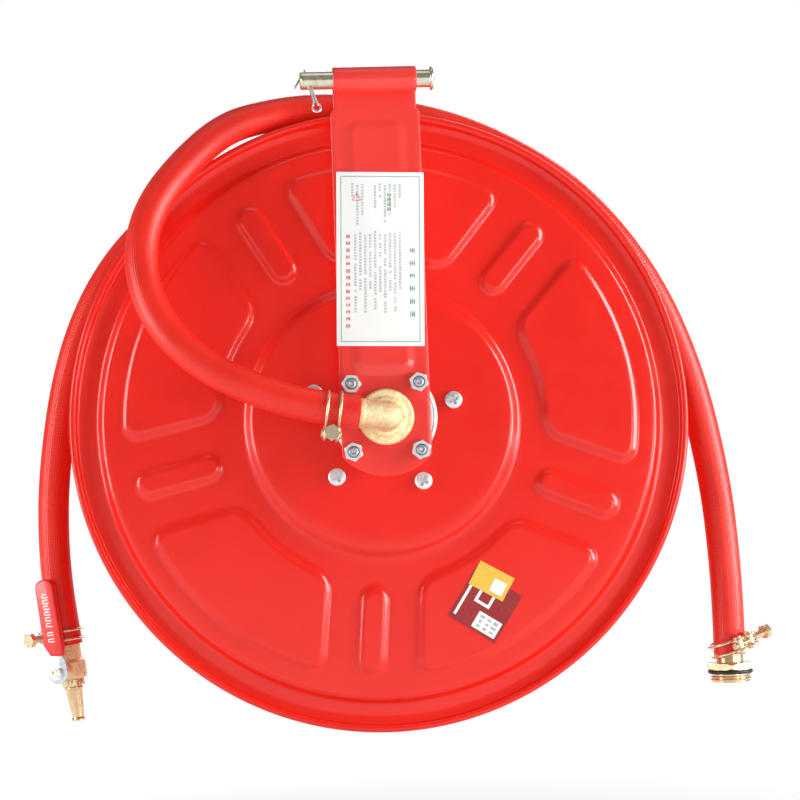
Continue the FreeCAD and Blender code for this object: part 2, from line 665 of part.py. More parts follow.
def sector_outline():
    inner_x = root(d.sector_inner * d.sector_inner - d.sector_inner_half * d.sector_inner_half)
    outer_x = root(d.sector_outer * d.sector_outer - d.sector_outer_half * d.sector_outer_half)
    points = [(inner_x, -d.sector_inner_half), (outer_x, -d.sector_outer_half),
              (outer_x, d.sector_outer_half), (inner_x, d.sector_inner_half)]
    return points, {1: (0, 0, d.sector_outer, 1), 3: (0, 0, d.sector_inner, -1)}


def slot_outline():
    """A slot with round ends, lying halfway between two sectors."""
    half = d.slot_half_width
    middle = 36.0
    near, far = d.slot_inner + half, d.slot_outer - half
    along, across = polar(1.0, middle), polar(1.0, middle + 90)
    corners = []
    for reach, side in ((near, -1), (far, -1), (far, 1), (near, 1)):
        aside = side * half
        corners.append((reach * along[0] + aside * across[0], reach * along[1] + aside * across[1]))
    far_centre = (far * along[0], far * along[1])
    near_centre = (near * along[0], near * along[1])
    return corners, {1: (*far_centre, half, 1), 3: (*near_centre, half, 1)}


def drilled(label, body, start, direction, radius, length):
    """A piece with one round hole that runs from a point in a direction."""
    tool = doc.addObject("Part::Cylinder", f"{label}_drill")
    tool.setExpression("Radius", as_size(radius).text)
    tool.setExpression("Height", as_size(length).text)
    tool.Placement = FreeCAD.Placement(start, FreeCAD.Rotation(FreeCAD.Vector(0, 0, 1), direction))
    piece = doc.addObject("Part::Cut", label)
    piece.Label = label
    piece.Base = body
    piece.Tool = tool
    nodes[label] = piece


def blank(label, points):
    """A turned blank that a later cut makes into a node."""
    body = doc.addObject("PartDesign::Body", f"{label}_blank")
    body.Label = f"{label}_blank"
    revolve(body, "section", "XY_Plane", points)
    on_drum_axis(body)
    return body


def outlet_direction():
    x, z = polar(1.0, d.outlet_angle.number)
    return FreeCAD.Vector(x, 0, z)


def hub_point(radius=0.0):
    return FreeCAD.Vector(0, d.outlet_depth.number, -d.hub_drop.number) + outlet_direction() * radius


def tie_centres():
    return [polar(d.tie_circle_radius, 72.0 * i) for i in range(5)]


def turn_to_phase(body):
    """Turn a piece about the drum axis so that its first tie bolt lies at drum_phase."""
    body.Placement.Rotation = FreeCAD.Rotation(FreeCAD.Vector(0, 1, 0), -d.drum_phase.number)
    on_drum_axis(body)


def tie_holes(body):
    holes = new_sketch(body, "tie_holes", "XZ_Plane")
    for x, z in tie_centres():
        circle(holes, x, z, d.tie_hole_radius)
    cut(body, holes, 8 * d.drum_inner_width, midplane=True)
    turn_to_phase(body)


def make_core_barrel():
    start = hub_flange_front + 0.1
    tube = blank("core_barrel", ring_points(d.barrel_radius - d.barrel_wall, d.barrel_radius,
                                            start, rear(start)))
    drilled("core_barrel", tube, hub_point(), outlet_direction(),
            d.riser_radius + d.barrel_hole_clearance, 2 * d.barrel_radius)


def make_hub():
    casting = blank("hub", [
        (d.hub_bore, d.hub_start), (d.hub_nose_radius - 2.0, d.hub_start),
        (d.hub_nose_radius, d.hub_start + 2.0), (d.hub_nose_radius, hub_flange_front),
        (d.hub_flange_radius, hub_flange_front), (d.hub_flange_radius, hub_flange_back),
        (d.hub_barrel_radius, hub_flange_back), (d.hub_barrel_radius, d.hub_end),
        (d.hub_bore, d.hub_end)])
    tie_holes(casting)
    drilled("hub", casting, hub_point(), outlet_direction(), d.riser_radius, 2 * d.hub_barrel_radius)


def make_rear_plate():
    inner_face = rear(hub_flange_front)
    plate = turned_on_drum_axis("rear_plate", ring_points(
        d.hub_hole_radius, d.hub_flange_radius, inner_face - d.rear_plate_thickness, inner_face))
    tie_holes(plate)


def make_rear_cap():
    face = rear(d.hub_face)
    lip = d.hub_hole_radius - 0.3
    skirt_inner = lip - d.cap_wall
    skirt_end = face - d.cap_skirt
    turned_on_drum_axis("rear_cap", [
        (0, face + d.cap_height - d.cap_wall), (skirt_inner, face), (skirt_inner, skirt_end),
        (lip, skirt_end), (lip, face), (d.cap_radius, face), (d.cap_radius, face + 1.5),
        (d.cap_radius - 4.0, face + d.cap_height - 1.0), (d.cap_radius - 12.0, face + d.cap_height),
        (0, face + d.cap_height)])


def make_tie_bolts():
    body = new_body("tie_bolts")
    face = d.hub_face
    rear_end = rear(d.hub_face) + d.tie_nut_height + d.tie_bolt_tail
    for name, radius, start, end in (("heads", d.tie_head_radius, face - 3.0, face),
                                     ("crowns", d.tie_head_radius - 2.0, face - d.tie_head_height, face),
                                     ("shanks", d.tie_radius, face, rear_end)):
        sketch = new_sketch(body, name, "XZ_Plane")
        for x, z in tie_centres():
            circle(sketch, x, z, radius)
        place_sketch(sketch, -end)
        pad(body, sketch, end - start)
    turn_to_phase(body)


def make_tie_nuts():
    body = new_body("tie_nuts")
    face = rear(d.hub_face)
    hexes = new_sketch(body, "hexes", "XZ_Plane")
    for number, (x, z) in enumerate(tie_centres()):
        hexagon(hexes, x, z, d.tie_nut_flats, 17.0 * number)
    place_sketch(hexes, -(face + d.tie_nut_height))
    pad(body, hexes, d.tie_nut_height)
    threads = new_sketch(body, "threads", "XZ_Plane")
    for x, z in tie_centres():
        circle(threads, x, z, d.tie_radius)
    cut(body, threads, 8 * d.drum_inner_width, midplane=True)
    turn_to_phase(body)


def make_outlet_elbow():
    out = outlet_direction()
    turning = FreeCAD.Vector(0, -1, 0).cross(out).normalize()
    knee_at = hub_point(d.first_turn_radius.number)
    riser_start = hub_point(d.hub_bore.number + 1.0)
    riser = rod_between(riser_start, knee_at, d.riser_radius.number)
    knee = Part.makeSphere(d.riser_radius.number + 1.0, knee_at)
    barb_end = knee_at + turning * d.outlet_barb_length.number
    barb = rod_between(knee_at, barb_end, d.barb_radius.number)
    bore = rod_between(hub_point(), knee_at, d.outlet_bore.number)
    side_bore = rod_between(knee_at, barb_end + turning, d.outlet_bore.number)
    feature("outlet_elbow", riser.fuse([knee, barb]).cut(bore.fuse([side_bore])))


def make_outlet_clamp():
    """A thin band crimped round the first turn of hose, over the outlet's barb."""
    turning = FreeCAD.Vector(0, -1, 0).cross(outlet_direction()).normalize()
    middle = hub_point(d.first_turn_radius.number) + turning * 0.7 * d.outlet_barb_length.number
    half = turning * d.crimp_width.number / 2
    inner = d.hose_radius.number
    band = rod_between(middle - half, middle + half, inner + d.crimp_sheet.number)
    feature("outlet_clamp", band.cut(rod_between(middle - half * 2, middle + half * 2, inner)))


def make_wound_hose():
    turned_on_drum_axis("wound_hose", ring_points(
        d.coil_inner, d.coil_outer, front_rim_inside + d.coil_margin, rear_rim_inside - d.coil_margin))


# ---------------------------------------------------------------- hose clamps
def make_clamp(name, centre, along, outward, ring_radius, bolt_sign, spread):
    """A double-wire clamp: two wire rings, two blocks beside them and the bolt through the blocks.

    along is the hose's direction, outward points from the hose to the bolt, and spread is half the
    distance between the two wires.
    """
    along = along.normalize()
    outward = (outward - along * outward.dot(along)).normalize()
    bolt_way = outward.cross(along) * bolt_sign
    wire = d.clamp_wire.number
    block_radius = d.clamp_block_radius.number
    bolt_radius = d.clamp_bolt_radius.number
    bolt_length = d.clamp_bolt_length.number
    ears = centre + outward * (ring_radius + block_radius)
    rings = []
    blocks = []
    for side in (-1, 1):
        ring_at = centre + along * side * spread
        rings.append(Part.makeTorus(ring_radius, wire, ring_at, along))
        block_at = ears + bolt_way * side * d.clamp_gap.number / 2
        half_block = along * (spread + 2 * wire)
        blocks.append(rod_between(block_at - half_block, block_at + half_block, block_radius))
    bolt_start = ears - bolt_way * d.clamp_bolt_tip.number
    bolt_end = bolt_start + bolt_way * bolt_length
    hole = rod_between(bolt_start - bolt_way * bolt_length, bolt_end + bolt_way * bolt_length,
                       bolt_radius + d.clamp_hole_clearance.number)
    feature(f"{name}_clamp", rings[0].fuse([rings[1], *blocks]).cut(hole))
    shank = rod_between(bolt_start, bolt_end, bolt_radius)
    corner = d.clamp_head_flats.number / math.sqrt(3)
    corners = []
    for i in range(7):
        angle = math.radians(60 * i)
        corners.append(bolt_end + along * corner * math.cos(angle) + outward * corner * math.sin(angle))
    head = Part.Face(Part.makePolygon(corners)).extrude(bolt_way * d.clamp_head_height.number)
    feature(f"{name}_clamp_bolt", shank.fuse(head))


def close_ring_radius():
    """The radius of a clamp's wire that just touches the hose."""
    return d.hose_radius.number + d.clamp_wire.number + 0.1


# ---------------------------------------------------------------- inlet hose and its coupling
INLET_ROUTE = [
    (-62, -13, -255.5), (-105, -11, -240), (-139, -8, -222), (-167, -2, -196), (-184, 5, -163),
    (-188, 15, -127), (-178, 27, -91), (-153, 42, -57), (-119, 57, -25), (-82, 71, -13), (-45, 81, -7),
    (-6, 87, -8.5), (36, 88, -14.5), (78, 88, -27), (119, 88, -47), (156, 88, -71), (187, 88, -101),
    (213, 88, -135), (234, 88, -172), (250, 88, -211), (262, 88, -251), (270.5, 88, -292),
    (277, 88, -334), (280.5, 88, -377), (282.3, 88, -423), (282, 88, -466),
]

# The free end of the hose climbs off the last turn, follows the drum down its left side and hangs.
TAIL_ROUTE = [
    (8.5, 197, -17.5), (-35, 196, -17), (-80, 194, -27.5), (-125, 191, -45), (-167, 188, -70.5),
    (-203, 186, -101), (-230, 185, -138), (-249, 185, -178), (-262, 185, -222), (-270, 185, -267),
    (-275, 185, -311), (-276, 185, -350), (-274.5, 185, -384), (-271, 185, -415), (-267, 185, -442),
]


def route(points):
    return [FreeCAD.Vector(*point) for point in points]


def make_inlet_hose():
    start = elbow_point(d.elbow_tube_length.number)
    make_hose("inlet_hose", [start] + route(INLET_ROUTE))
    along = elbow_point(0) - elbow_point(1)
    make_clamp("inlet", elbow_point(d.inlet_clamp_place.number), along, FreeCAD.Vector(0, 0, -1),
               close_ring_radius(), 1, d.inlet_clamp_spread.number)


def make_inlet_coupling():
    end = FreeCAD.Vector(*INLET_ROUTE[-1])
    body = new_body("inlet_coupling")
    section_radius = d.coupling_seal_section
    groove_radius = d.coupling_seal_radius - 2 * section_radius
    thread_root = d.thread_radius - d.thread_chamfer
    thread_start, thread_end = -d.seal_groove_end, -d.coupling_end
    revolve(body, "section", "XZ_Plane", [
        (d.coupling_tail_bore, d.barb_length), (d.barb_radius, d.barb_length), (d.barb_radius, 0),
        (d.neck_radius, 0), (d.neck_radius, -d.neck_end), (groove_radius, -d.neck_end),
        (groove_radius, thread_start), (thread_root, thread_start),
        (d.thread_radius, thread_start - d.thread_chamfer), (d.thread_radius, thread_end + d.thread_chamfer),
        (thread_root, thread_end), (d.coupling_bore, thread_end), (d.coupling_bore, -4.0),
        (d.coupling_tail_bore, 0)])
    nut = new_sketch(body, "flats", "XY_Plane")
    hexagon(nut, 0, 0, d.coupling_flats, 8.0)
    circle(nut, 0, 0, groove_radius - 1.0)
    place_sketch(nut, -d.coupling_flats_end)
    pad(body, nut, d.coupling_flats_height)
    body.Placement = FreeCAD.Placement(end, FreeCAD.Rotation())
    seal = new_body("coupling_seal")
    ring = new_sketch(seal, "ring", "XZ_Plane")
    circle(ring, d.coupling_seal_radius - section_radius,
           -(d.coupling_flats_end + d.seal_groove_end) / 2, section_radius)
    turn = seal.newObject("PartDesign::Revolution", "coupling_seal_turn")
    turn.Profile = ring
    turn.ReferenceAxis = (ring, ["V_Axis"])
    turn.Angle = 360
    seal.Placement = FreeCAD.Placement(end, FreeCAD.Rotation())
    tilt = math.radians(d.coupling_clamp_tilt.number)
    slanted = FreeCAD.Vector(-math.sin(tilt), 0, math.cos(tilt))
    clamp_at = end + FreeCAD.Vector(0, 0, d.coupling_clamp_place.number)
    make_clamp("coupling", clamp_at, slanted, FreeCAD.Vector(0.5, -0.87, 0), d.slanted_ring_radius.number,
               -1, d.coupling_clamp_spread.number)


# ---------------------------------------------------------------- valve and nozzle on the hose's free end
def valve_placement():
    tilt = FreeCAD.Rotation(FreeCAD.Vector(0, 1, 0), d.valve_tilt.number)
    turn = FreeCAD.Rotation(FreeCAD.Vector(0, 0, 1), d.valve_turn_in.number)
    return FreeCAD.Placement(FreeCAD.Vector(*TAIL_ROUTE[-1]), tilt.multiply(turn))


def put_on_valve(item):
    item.Placement = valve_placement()


def make_valve_body():
    body = new_body("valve_body")
    drop = d.valve_drop
    body_end = -drop - d.valve_body_below - d.valve_chamfer
    cavity_top = -drop + d.seat_outer + 0.05
    bore_top = d.barb_length + 1.0
    revolve(body, "section", "XZ_Plane", [
        (0, d.barb_length), (d.barb_radius, d.barb_length), (d.barb_radius, 0), (d.valve_neck_radius, 0),
        (d.valve_neck_radius, -drop + d.valve_shoulder),
        (d.valve_body_radius, -drop + d.valve_shoulder - 2.0),
        (d.valve_body_radius, -drop - d.valve_body_below),
        (d.valve_body_radius - d.valve_chamfer, body_end), (0, body_end)])
    boss = new_sketch(body, "boss", "XZ_Plane")
    circle(boss, 0, -drop, d.boss_radius)
    pad(body, boss, d.boss_reach - 1.0)
    stem_hole = new_sketch(body, "stem_hole", "XZ_Plane")
    circle(stem_hole, 0, -drop, d.stem_radius + d.running_clearance)
    cut(body, stem_hole, 2 * d.boss_reach, reverse=True)
    groove(body, "waterway", "XZ_Plane", [
        (0, bore_top), (d.valve_bore, bore_top), (d.valve_bore, cavity_top),
        (d.ball_cavity, cavity_top), (d.ball_cavity, body_end - 1.0), (0, body_end - 1.0)])
    put_on_valve(body)


def make_valve_insides():
    drop = d.valve_drop
    seats = new_body("valve_seats")
    for name, side in (("upper", 1), ("lower", -1)):
        inner, outer = d.ball_seat_gap + 0.05, d.seat_outer
        revolve(seats, name, "XZ_Plane", [
            (d.valve_bore + 0.2, -drop + side * inner), (d.ball_cavity - 0.05, -drop + side * inner),
            (d.ball_cavity - 0.05, -drop + side * outer), (d.valve_bore + 0.2, -drop + side * outer)])
    put_on_valve(seats)
    centre = FreeCAD.Vector(0, 0, -drop.number)
    ball = Part.makeSphere(d.ball_radius.number, centre)
    ball = ball.cut(Part.makeCylinder(d.valve_bore.number - 0.5, 40, centre - FreeCAD.Vector(0, 0, 20)))
    width, depth = d.ball_slot_width.number, d.ball_slot_depth.number
    slot_at = centre - FreeCAD.Vector(width / 2, d.ball_radius.number, d.ball_radius.number)
    slot = Part.makeBox(width, depth, 2 * d.ball_radius.number, slot_at)
    item = feature("valve_ball", ball.cut(slot))
    put_on_valve(item)
    stem = new_body("valve_stem")
    shank = new_sketch(stem, "shank", "XZ_Plane")
    circle(shank, 0, -drop, d.stem_radius)
    place_sketch(shank, d.ball_radius + 0.2)
    pad(stem, shank, d.lever_offset + d.stem_tail - d.ball_radius)
    tongue = new_sketch(stem, "tongue", "XZ_Plane")
    half, tall = d.tongue_half_width, d.tongue_half_length
    low, high = -drop - tall, -drop + tall
    outline(tongue, [(-half, low), (half, low), (half, high), (-half, high)])
    place_sketch(tongue, d.ball_radius - d.tongue_length)
    pad(stem, tongue, d.tongue_length + 0.7)
    put_on_valve(stem)


def hex_on_stem(label, flats, start, length, bore):
    body = new_body(label)
    sketch = new_sketch(body, "flats", "XZ_Plane")
    hexagon(sketch, 0, -d.valve_drop, flats, 20.0)
    circle(sketch, 0, -d.valve_drop, bore)
    place_sketch(sketch, start)
    pad(body, sketch, length)
    put_on_valve(body)


def make_lever():
    pivot = -d.valve_drop
    body = new_body("valve_lever")
    blade = new_sketch(body, "blade", "XZ_Plane")
    wide, narrow = d.lever_half_width, d.lever_half_width - d.lever_waist
    waist_start, waist_end = pivot + d.lever_waist_start, pivot + d.lever_waist_end
    top = pivot + d.lever_length - d.lever_end_gap
    shoulder = top - d.lever_top_corner
    tip = narrow - 4.0
    outline(blade, [(-wide, pivot), (wide, pivot), (wide, waist_start), (narrow, waist_end),
                    (narrow, shoulder), (tip, top), (-tip, top), (-narrow, shoulder),
                    (-narrow, waist_end), (-wide, waist_start)],
            {0: (0, pivot, wide, 1)})
    place_sketch(blade, d.lever_offset)
    pad(body, blade, d.lever_sheet)
    hole = new_sketch(body, "stem_hole", "XZ_Plane")
    circle(hole, 0, pivot, d.stem_radius + 0.05)
    place_sketch(hole, d.lever_offset - 1.0)
    cut(body, hole, 2 * d.lever_sheet, reverse=True)
    put_on_valve(body)
    grip = new_body("lever_grip")
    sleeve = new_sketch(grip, "sleeve", "XZ_Plane")
    half, low, high = d.grip_half_width, pivot + d.grip_start, pivot + d.lever_length
    foot, slant = half - d.grip_low_corner, low + d.grip_low_slant
    crown, corner = half - d.grip_top_corner, high - d.grip_top_corner
    outline(sleeve, [(-foot, low), (foot, low), (half, slant), (half, corner),
                     (crown, high), (-crown, high), (-half, corner), (-half, slant)])
    place_sketch(sleeve, d.lever_offset - d.grip_wall)
    pad(grip, sleeve, d.lever_sheet + 2 * d.grip_wall)
    inside = new_sketch(grip, "inside", "XZ_Plane")
    slack = d.grip_slack
    side = narrow + slack
    outline(inside, [(-wide, low - 1.0), (wide, low - 1.0), (side, waist_end + slack),
                     (side, shoulder + slack), (tip, top + slack), (-tip, top + slack),
                     (-side, shoulder + slack), (-side, waist_end + slack)])
    place_sketch(inside, d.lever_offset - slack / 2)
    cut(grip, inside, d.lever_sheet + slack, reverse=True)
    put_on_valve(grip)


def make_nozzle():
    body = new_body("nozzle")
    top = -d.valve_drop - d.valve_body_below - d.valve_chamfer
    hex_end = top - d.nozzle_hex_height
    tip = hex_end - d.nozzle_taper_length
    revolve(body, "section", "XZ_Plane", [
        (d.nozzle_bore, top), (d.nozzle_top_radius, top), (d.nozzle_top_radius, hex_end),
        (d.nozzle_tip_radius, tip + d.nozzle_waist), (d.nozzle_flare, tip + d.nozzle_lip),
        (d.nozzle_flare, tip), (d.jet_radius, tip), (d.jet_radius, tip + d.jet_length)])
    flats = new_sketch(body, "flats", "XY_Plane")
    hexagon(flats, 0, 0, d.nozzle_flats, 12.0)
    circle(flats, 0, 0, d.nozzle_top_radius - 1.5)
    place_sketch(flats, hex_end)
    pad(body, flats, d.nozzle_hex_height)
    put_on_valve(body)


def make_tail():
    make_hose("tail_hose", route(TAIL_ROUTE))
    place = valve_placement()
    end = place.Base
    along = place.Rotation.multVec(FreeCAD.Vector(0, 0, 1))
    make_clamp("tail", end + along * d.tail_clamp_place.number, along, FreeCAD.Vector(-0.75, 0.66, 0),
               close_ring_radius(), -1, d.tail_clamp_spread.number)


# ---------------------------------------------------------------- build, test and write
def main():
    for make in (make_hinge_pin, make_split_pin, make_swing_arm, make_label_plate, make_arm_studs,
                 make_arm_nuts, make_spindle_flange, make_spindle, make_inlet_elbow, make_elbow_seal,
                 make_bearings, make_core_barrel, make_hub, make_rear_plate, make_rear_cap, make_tie_bolts,
                 make_tie_nuts, make_outlet_elbow, make_outlet_clamp, make_wound_hose, make_inlet_hose,
                 make_inlet_coupling, make_valve_body, make_valve_insides, make_lever, make_nozzle,
                 make_tail):
        make()
    make_disc("front_disc", 1)
    make_disc("rear_disc", -1)
    hex_on_stem("gland_nut", d.gland_flats, d.boss_reach - 0.9, d.gland_height,
                d.stem_radius + d.running_clearance)
    hex_on_stem("lever_nut", d.lever_nut_flats, d.lever_offset + d.lever_sheet, d.lever_nut_height,
                d.stem_radius + 0.02)
    doc.recompute()
    faults = [item.Name for item in doc.Objects if {"Invalid", "Error"} & set(item.State)]
    for label, item in nodes.items():
        shape = item.Shape
        if shape.isNull() or not shape.isValid() or not shape.Solids:
            faults.append(label)
    if faults:
        raise RuntimeError(f"these objects failed: {faults}")
    for label, item in nodes.items():
        item.Shape.exportStep(f"parts/{label}.step")
        print(f"{label}: {len(item.Shape.Solids)} solid(s), {item.Shape.Volume / 1000:.1f} cm3")


main()
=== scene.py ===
"""Looks of the swing-arm fire hose reel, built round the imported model.

Lengths in this script are millimetres in the model's own frame: origin at the centre of the hinge pin,
+X along the pin, +Y into the drum, +Z up.  They turn into metres where a mesh or a spline is made.  Lamps and
the floor are placed in metres.
"""
import json
import math
import random

import bmesh
import bpy
from mathutils import Matrix, Quaternion, Vector


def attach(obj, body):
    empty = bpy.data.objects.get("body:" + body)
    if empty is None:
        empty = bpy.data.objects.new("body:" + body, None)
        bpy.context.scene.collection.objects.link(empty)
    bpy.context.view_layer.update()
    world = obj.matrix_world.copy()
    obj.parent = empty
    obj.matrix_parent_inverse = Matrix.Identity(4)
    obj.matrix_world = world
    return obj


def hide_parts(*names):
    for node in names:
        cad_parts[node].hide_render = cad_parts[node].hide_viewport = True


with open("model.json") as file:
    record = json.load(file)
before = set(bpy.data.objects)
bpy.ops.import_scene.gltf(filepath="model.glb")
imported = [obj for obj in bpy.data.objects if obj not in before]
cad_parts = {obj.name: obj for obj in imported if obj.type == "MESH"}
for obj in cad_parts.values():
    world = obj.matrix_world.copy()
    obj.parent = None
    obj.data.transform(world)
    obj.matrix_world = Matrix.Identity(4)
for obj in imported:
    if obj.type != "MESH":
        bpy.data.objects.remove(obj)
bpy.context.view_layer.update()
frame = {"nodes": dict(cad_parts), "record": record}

MM = 0.001
AXIS_Z = -265.0                       # height of the drum's axis
HOSE_RADIUS = 13.0
FRONT_RIM_INSIDE = 62.5               # inner face of the front disc's rim
MIRROR_DEPTH = 2 * FRONT_RIM_INSIDE + 149.5   # a depth on the rear disc is this minus the front one
DRUM_PHASE = 13.5                     # angle of the first tie bolt and of the first raised sector
RIGHT = Vector((1, 0, 0))
FRONT, BACK = Vector((0, -1, 0)), Vector((0, 1, 0))
DOWN, UP = Vector((0, 0, -1)), Vector((0, 0, 1))
DRUM_AXIS_AT = Vector((0, 0, AXIS_Z))
SLOT_OF_NODE = {part["node"]: part["material_slot"] for part in frame["record"]["subparts"]}


def polar(radius, degrees, depth):
    """A point at an angle round the drum's axis; 0 points along +X and 90 points up."""
    turn = math.radians(degrees)
    return Vector((radius * math.cos(turn), depth, AXIS_Z + radius * math.sin(turn)))


def smooth_step(value):
    value = min(max(value, 0.0), 1.0)
    return value * value * (3 - 2 * value)


def add_object(name, data):
    item = bpy.data.objects.new(name, data)
    bpy.context.scene.collection.objects.link(item)
    return item


# --- camera
def aim_camera():
    """A long lens a little to the left of the drum's axis and below it, rolled two degrees."""
    target = Vector((15.01, 55.0, -249.55))
    distance, yaw, pitch, roll = 1700.0, math.radians(4.2), math.radians(3.0), math.radians(2.11)
    towards = Vector((-math.sin(yaw) * math.cos(pitch), -math.cos(yaw) * math.cos(pitch), -math.sin(pitch)))
    data = bpy.data.cameras.new("camera")
    data.lens = 95.03
    data.sensor_width = 36.0
    data.clip_start = 0.05
    camera = add_object("camera", data)
    camera.rotation_mode = "QUATERNION"
    camera.location = (target + towards * distance) * MM
    facing = (-towards).to_track_quat("-Z", "Y")
    camera.rotation_quaternion = facing @ Quaternion((0, 0, 1), -roll)
    bpy.context.scene.camera = camera


aim_camera()


# --- cords
ELBOW_RISE = math.radians(8.0)


def elbow_point(along):
    """A point on the elbow's outlet, measured from the drum's axis."""
    return Vector((-along * math.cos(ELBOW_RISE), -13.0, AXIS_Z + along * math.sin(ELBOW_RISE)))


# From the elbow out to the left, over the rim behind the arm and down the right side to the coupling.
INLET_ROUTE = [
    (-62, -13, -255.5), (-105, -11, -240), (-139, -8, -222), (-167, -2, -196), (-184, 5, -163),
    (-188, 15, -127), (-178, 27, -91), (-153, 42, -57), (-119, 57, -25), (-82, 71, -13), (-45, 81, -7),
    (-6, 87, -8.5), (36, 88, -14.5), (78, 88, -27), (119, 88, -47), (156, 88, -71), (187, 88, -101),
    (213, 88, -135), (234, 88, -172), (250, 88, -211), (262, 88, -251), (270.5, 88, -292),
    (277, 88, -334), (280.5, 88, -377), (282.3, 88, -423), (282, 88, -466),
]

# From the last turn on the drum, along the rear disc's rim and down the left side to the valve.
TAIL_ROUTE = [
    (-18, 197.5, -33.5), (-50, 196.5, -25), (-83, 194, -28), (-125, 191, -45), (-167, 188, -70.5),
    (-203, 186, -101), (-230, 185, -138), (-249, 185, -178), (-262, 185, -222), (-270, 185, -267),
    (-275, 185, -311), (-276, 185, -350), (-274.5, 185, -384), (-271, 185, -415), (-267, 185, -442),
]

COIL_START_ANGLE = 121.5
COIL_LAYERS = 5
TURNS_IN_LAYER = 4.58
COIL_FRONT, COIL_BACK = 77.5, 197.5
FIRST_LAYER_RADIUS, LAYER_STEP = 113.7, 26.3
POINTS_IN_TURN = 16


def coil_point(turns):
    """Where the wound hose's centre is, that many turns after it leaves the drum's outlet."""
    layers = min(turns / TURNS_IN_LAYER, COIL_LAYERS - 1e-6)
    layer = int(layers)
    across = layers - layer
    if layer % 2:
        across = 1 - across
    climb_turns = 0.07
    from_change = (layers - round(layers)) * TURNS_IN_LAYER
    risen = round(layers) if 0 < round(layers) < COIL_LAYERS else None
    if risen is not None and abs(from_change) < climb_turns:
        height = risen - 1 + smooth_step((from_change / climb_turns + 1) / 2)
    else:
        height = layer
    # Hand-wound turns lie a little unevenly.
    waver = 0.9 * math.sin(2.1 * turns) + 0.5 * math.sin(5.3 * turns + 1.0)
    depth = COIL_FRONT + (COIL_BACK - COIL_FRONT) * across + waver * math.sin(math.pi * across)
    radius = FIRST_LAYER_RADIUS + LAYER_STEP * height
    return radius, COIL_START_ANGLE + 360 * turns, depth


def coil_route():
    """Control points of the wound hose.  A quadratic spline lies inside its points by this factor."""
    shrink = (3 + math.cos(2 * math.pi / POINTS_IN_TURN)) / 4
    total = COIL_LAYERS * TURNS_IN_LAYER
    count = round(total * POINTS_IN_TURN)
    points = []
    for number in range(count + 1):
        radius, angle, depth = coil_point(total * number / count)
        at_end = number in (0, count)
        points.append(polar(radius if at_end else radius / shrink, angle, depth))
    return points


def route_points(route, detail):
    """Points along a quadratic NURBS spline that has the route as its control points."""
    data = bpy.data.curves.new("route", "CURVE")
    data.dimensions = "3D"
    data.resolution_u = detail
    spline = data.splines.new("NURBS")
    spline.points.add(len(route) - 1)
    for point, place in zip(spline.points, route):
        point.co = (*(Vector(place) * MM), 1.0)
    spline.order_u = 3
    spline.use_endpoint_u = True
    holder = add_object("route", data)
    bpy.context.view_layer.update()
    line = bpy.data.meshes.new_from_object(holder)
    points = [vertex.co.copy() for vertex in line.vertices]
    bpy.data.meshes.remove(line)
    bpy.data.objects.remove(holder)
    bpy.data.curves.remove(data)
    return points


# --- meshes and pieces
def finish_piece(name, mesh, body, material, slot=None, sharp=40, node=None):
    """A piece that rides on a body.  Edges turning by more than sharp degrees stay sharp."""
    mesh.shade_smooth()
    mesh.set_sharp_from_angle(angle=math.radians(sharp))
    piece = add_object(name, mesh)
    piece.data.materials.append(MATERIALS[material])
    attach(piece, body)
    if node:
        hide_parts(node)
    return piece


def spokes_along(points, sides):
    """The way ahead and the unit spokes across it at each point of a path, carried along without twist."""
    result = []
    across = None
    for i in range(len(points)):
        ahead = (points[min(i + 1, len(points) - 1)] - points[max(i - 1, 0)]).normalized()
        if across is None:
            across = ahead.orthogonal().normalized()
        across = (across - ahead * across.dot(ahead)).normalized()
        side = ahead.cross(across)
        turns = [2 * math.pi * j / sides for j in range(sides)]
        result.append((ahead, [across * math.cos(turn) + side * math.sin(turn) for turn in turns]))
    return result


def axis_frame(origin, axis, up=None):
    """A matrix that puts local Z along axis at origin; local X lies near up when it is given."""
    axis = Vector(axis).normalized()
    if up is None:
        up = RIGHT if abs(axis.x) < 0.9 else UP
    across = (Vector(up) - axis * axis.dot(up)).normalized()
    other = axis.cross(across)
    matrix = Matrix((across, other, axis)).transposed().to_4x4()
    matrix.translation = Vector(origin)
    return matrix


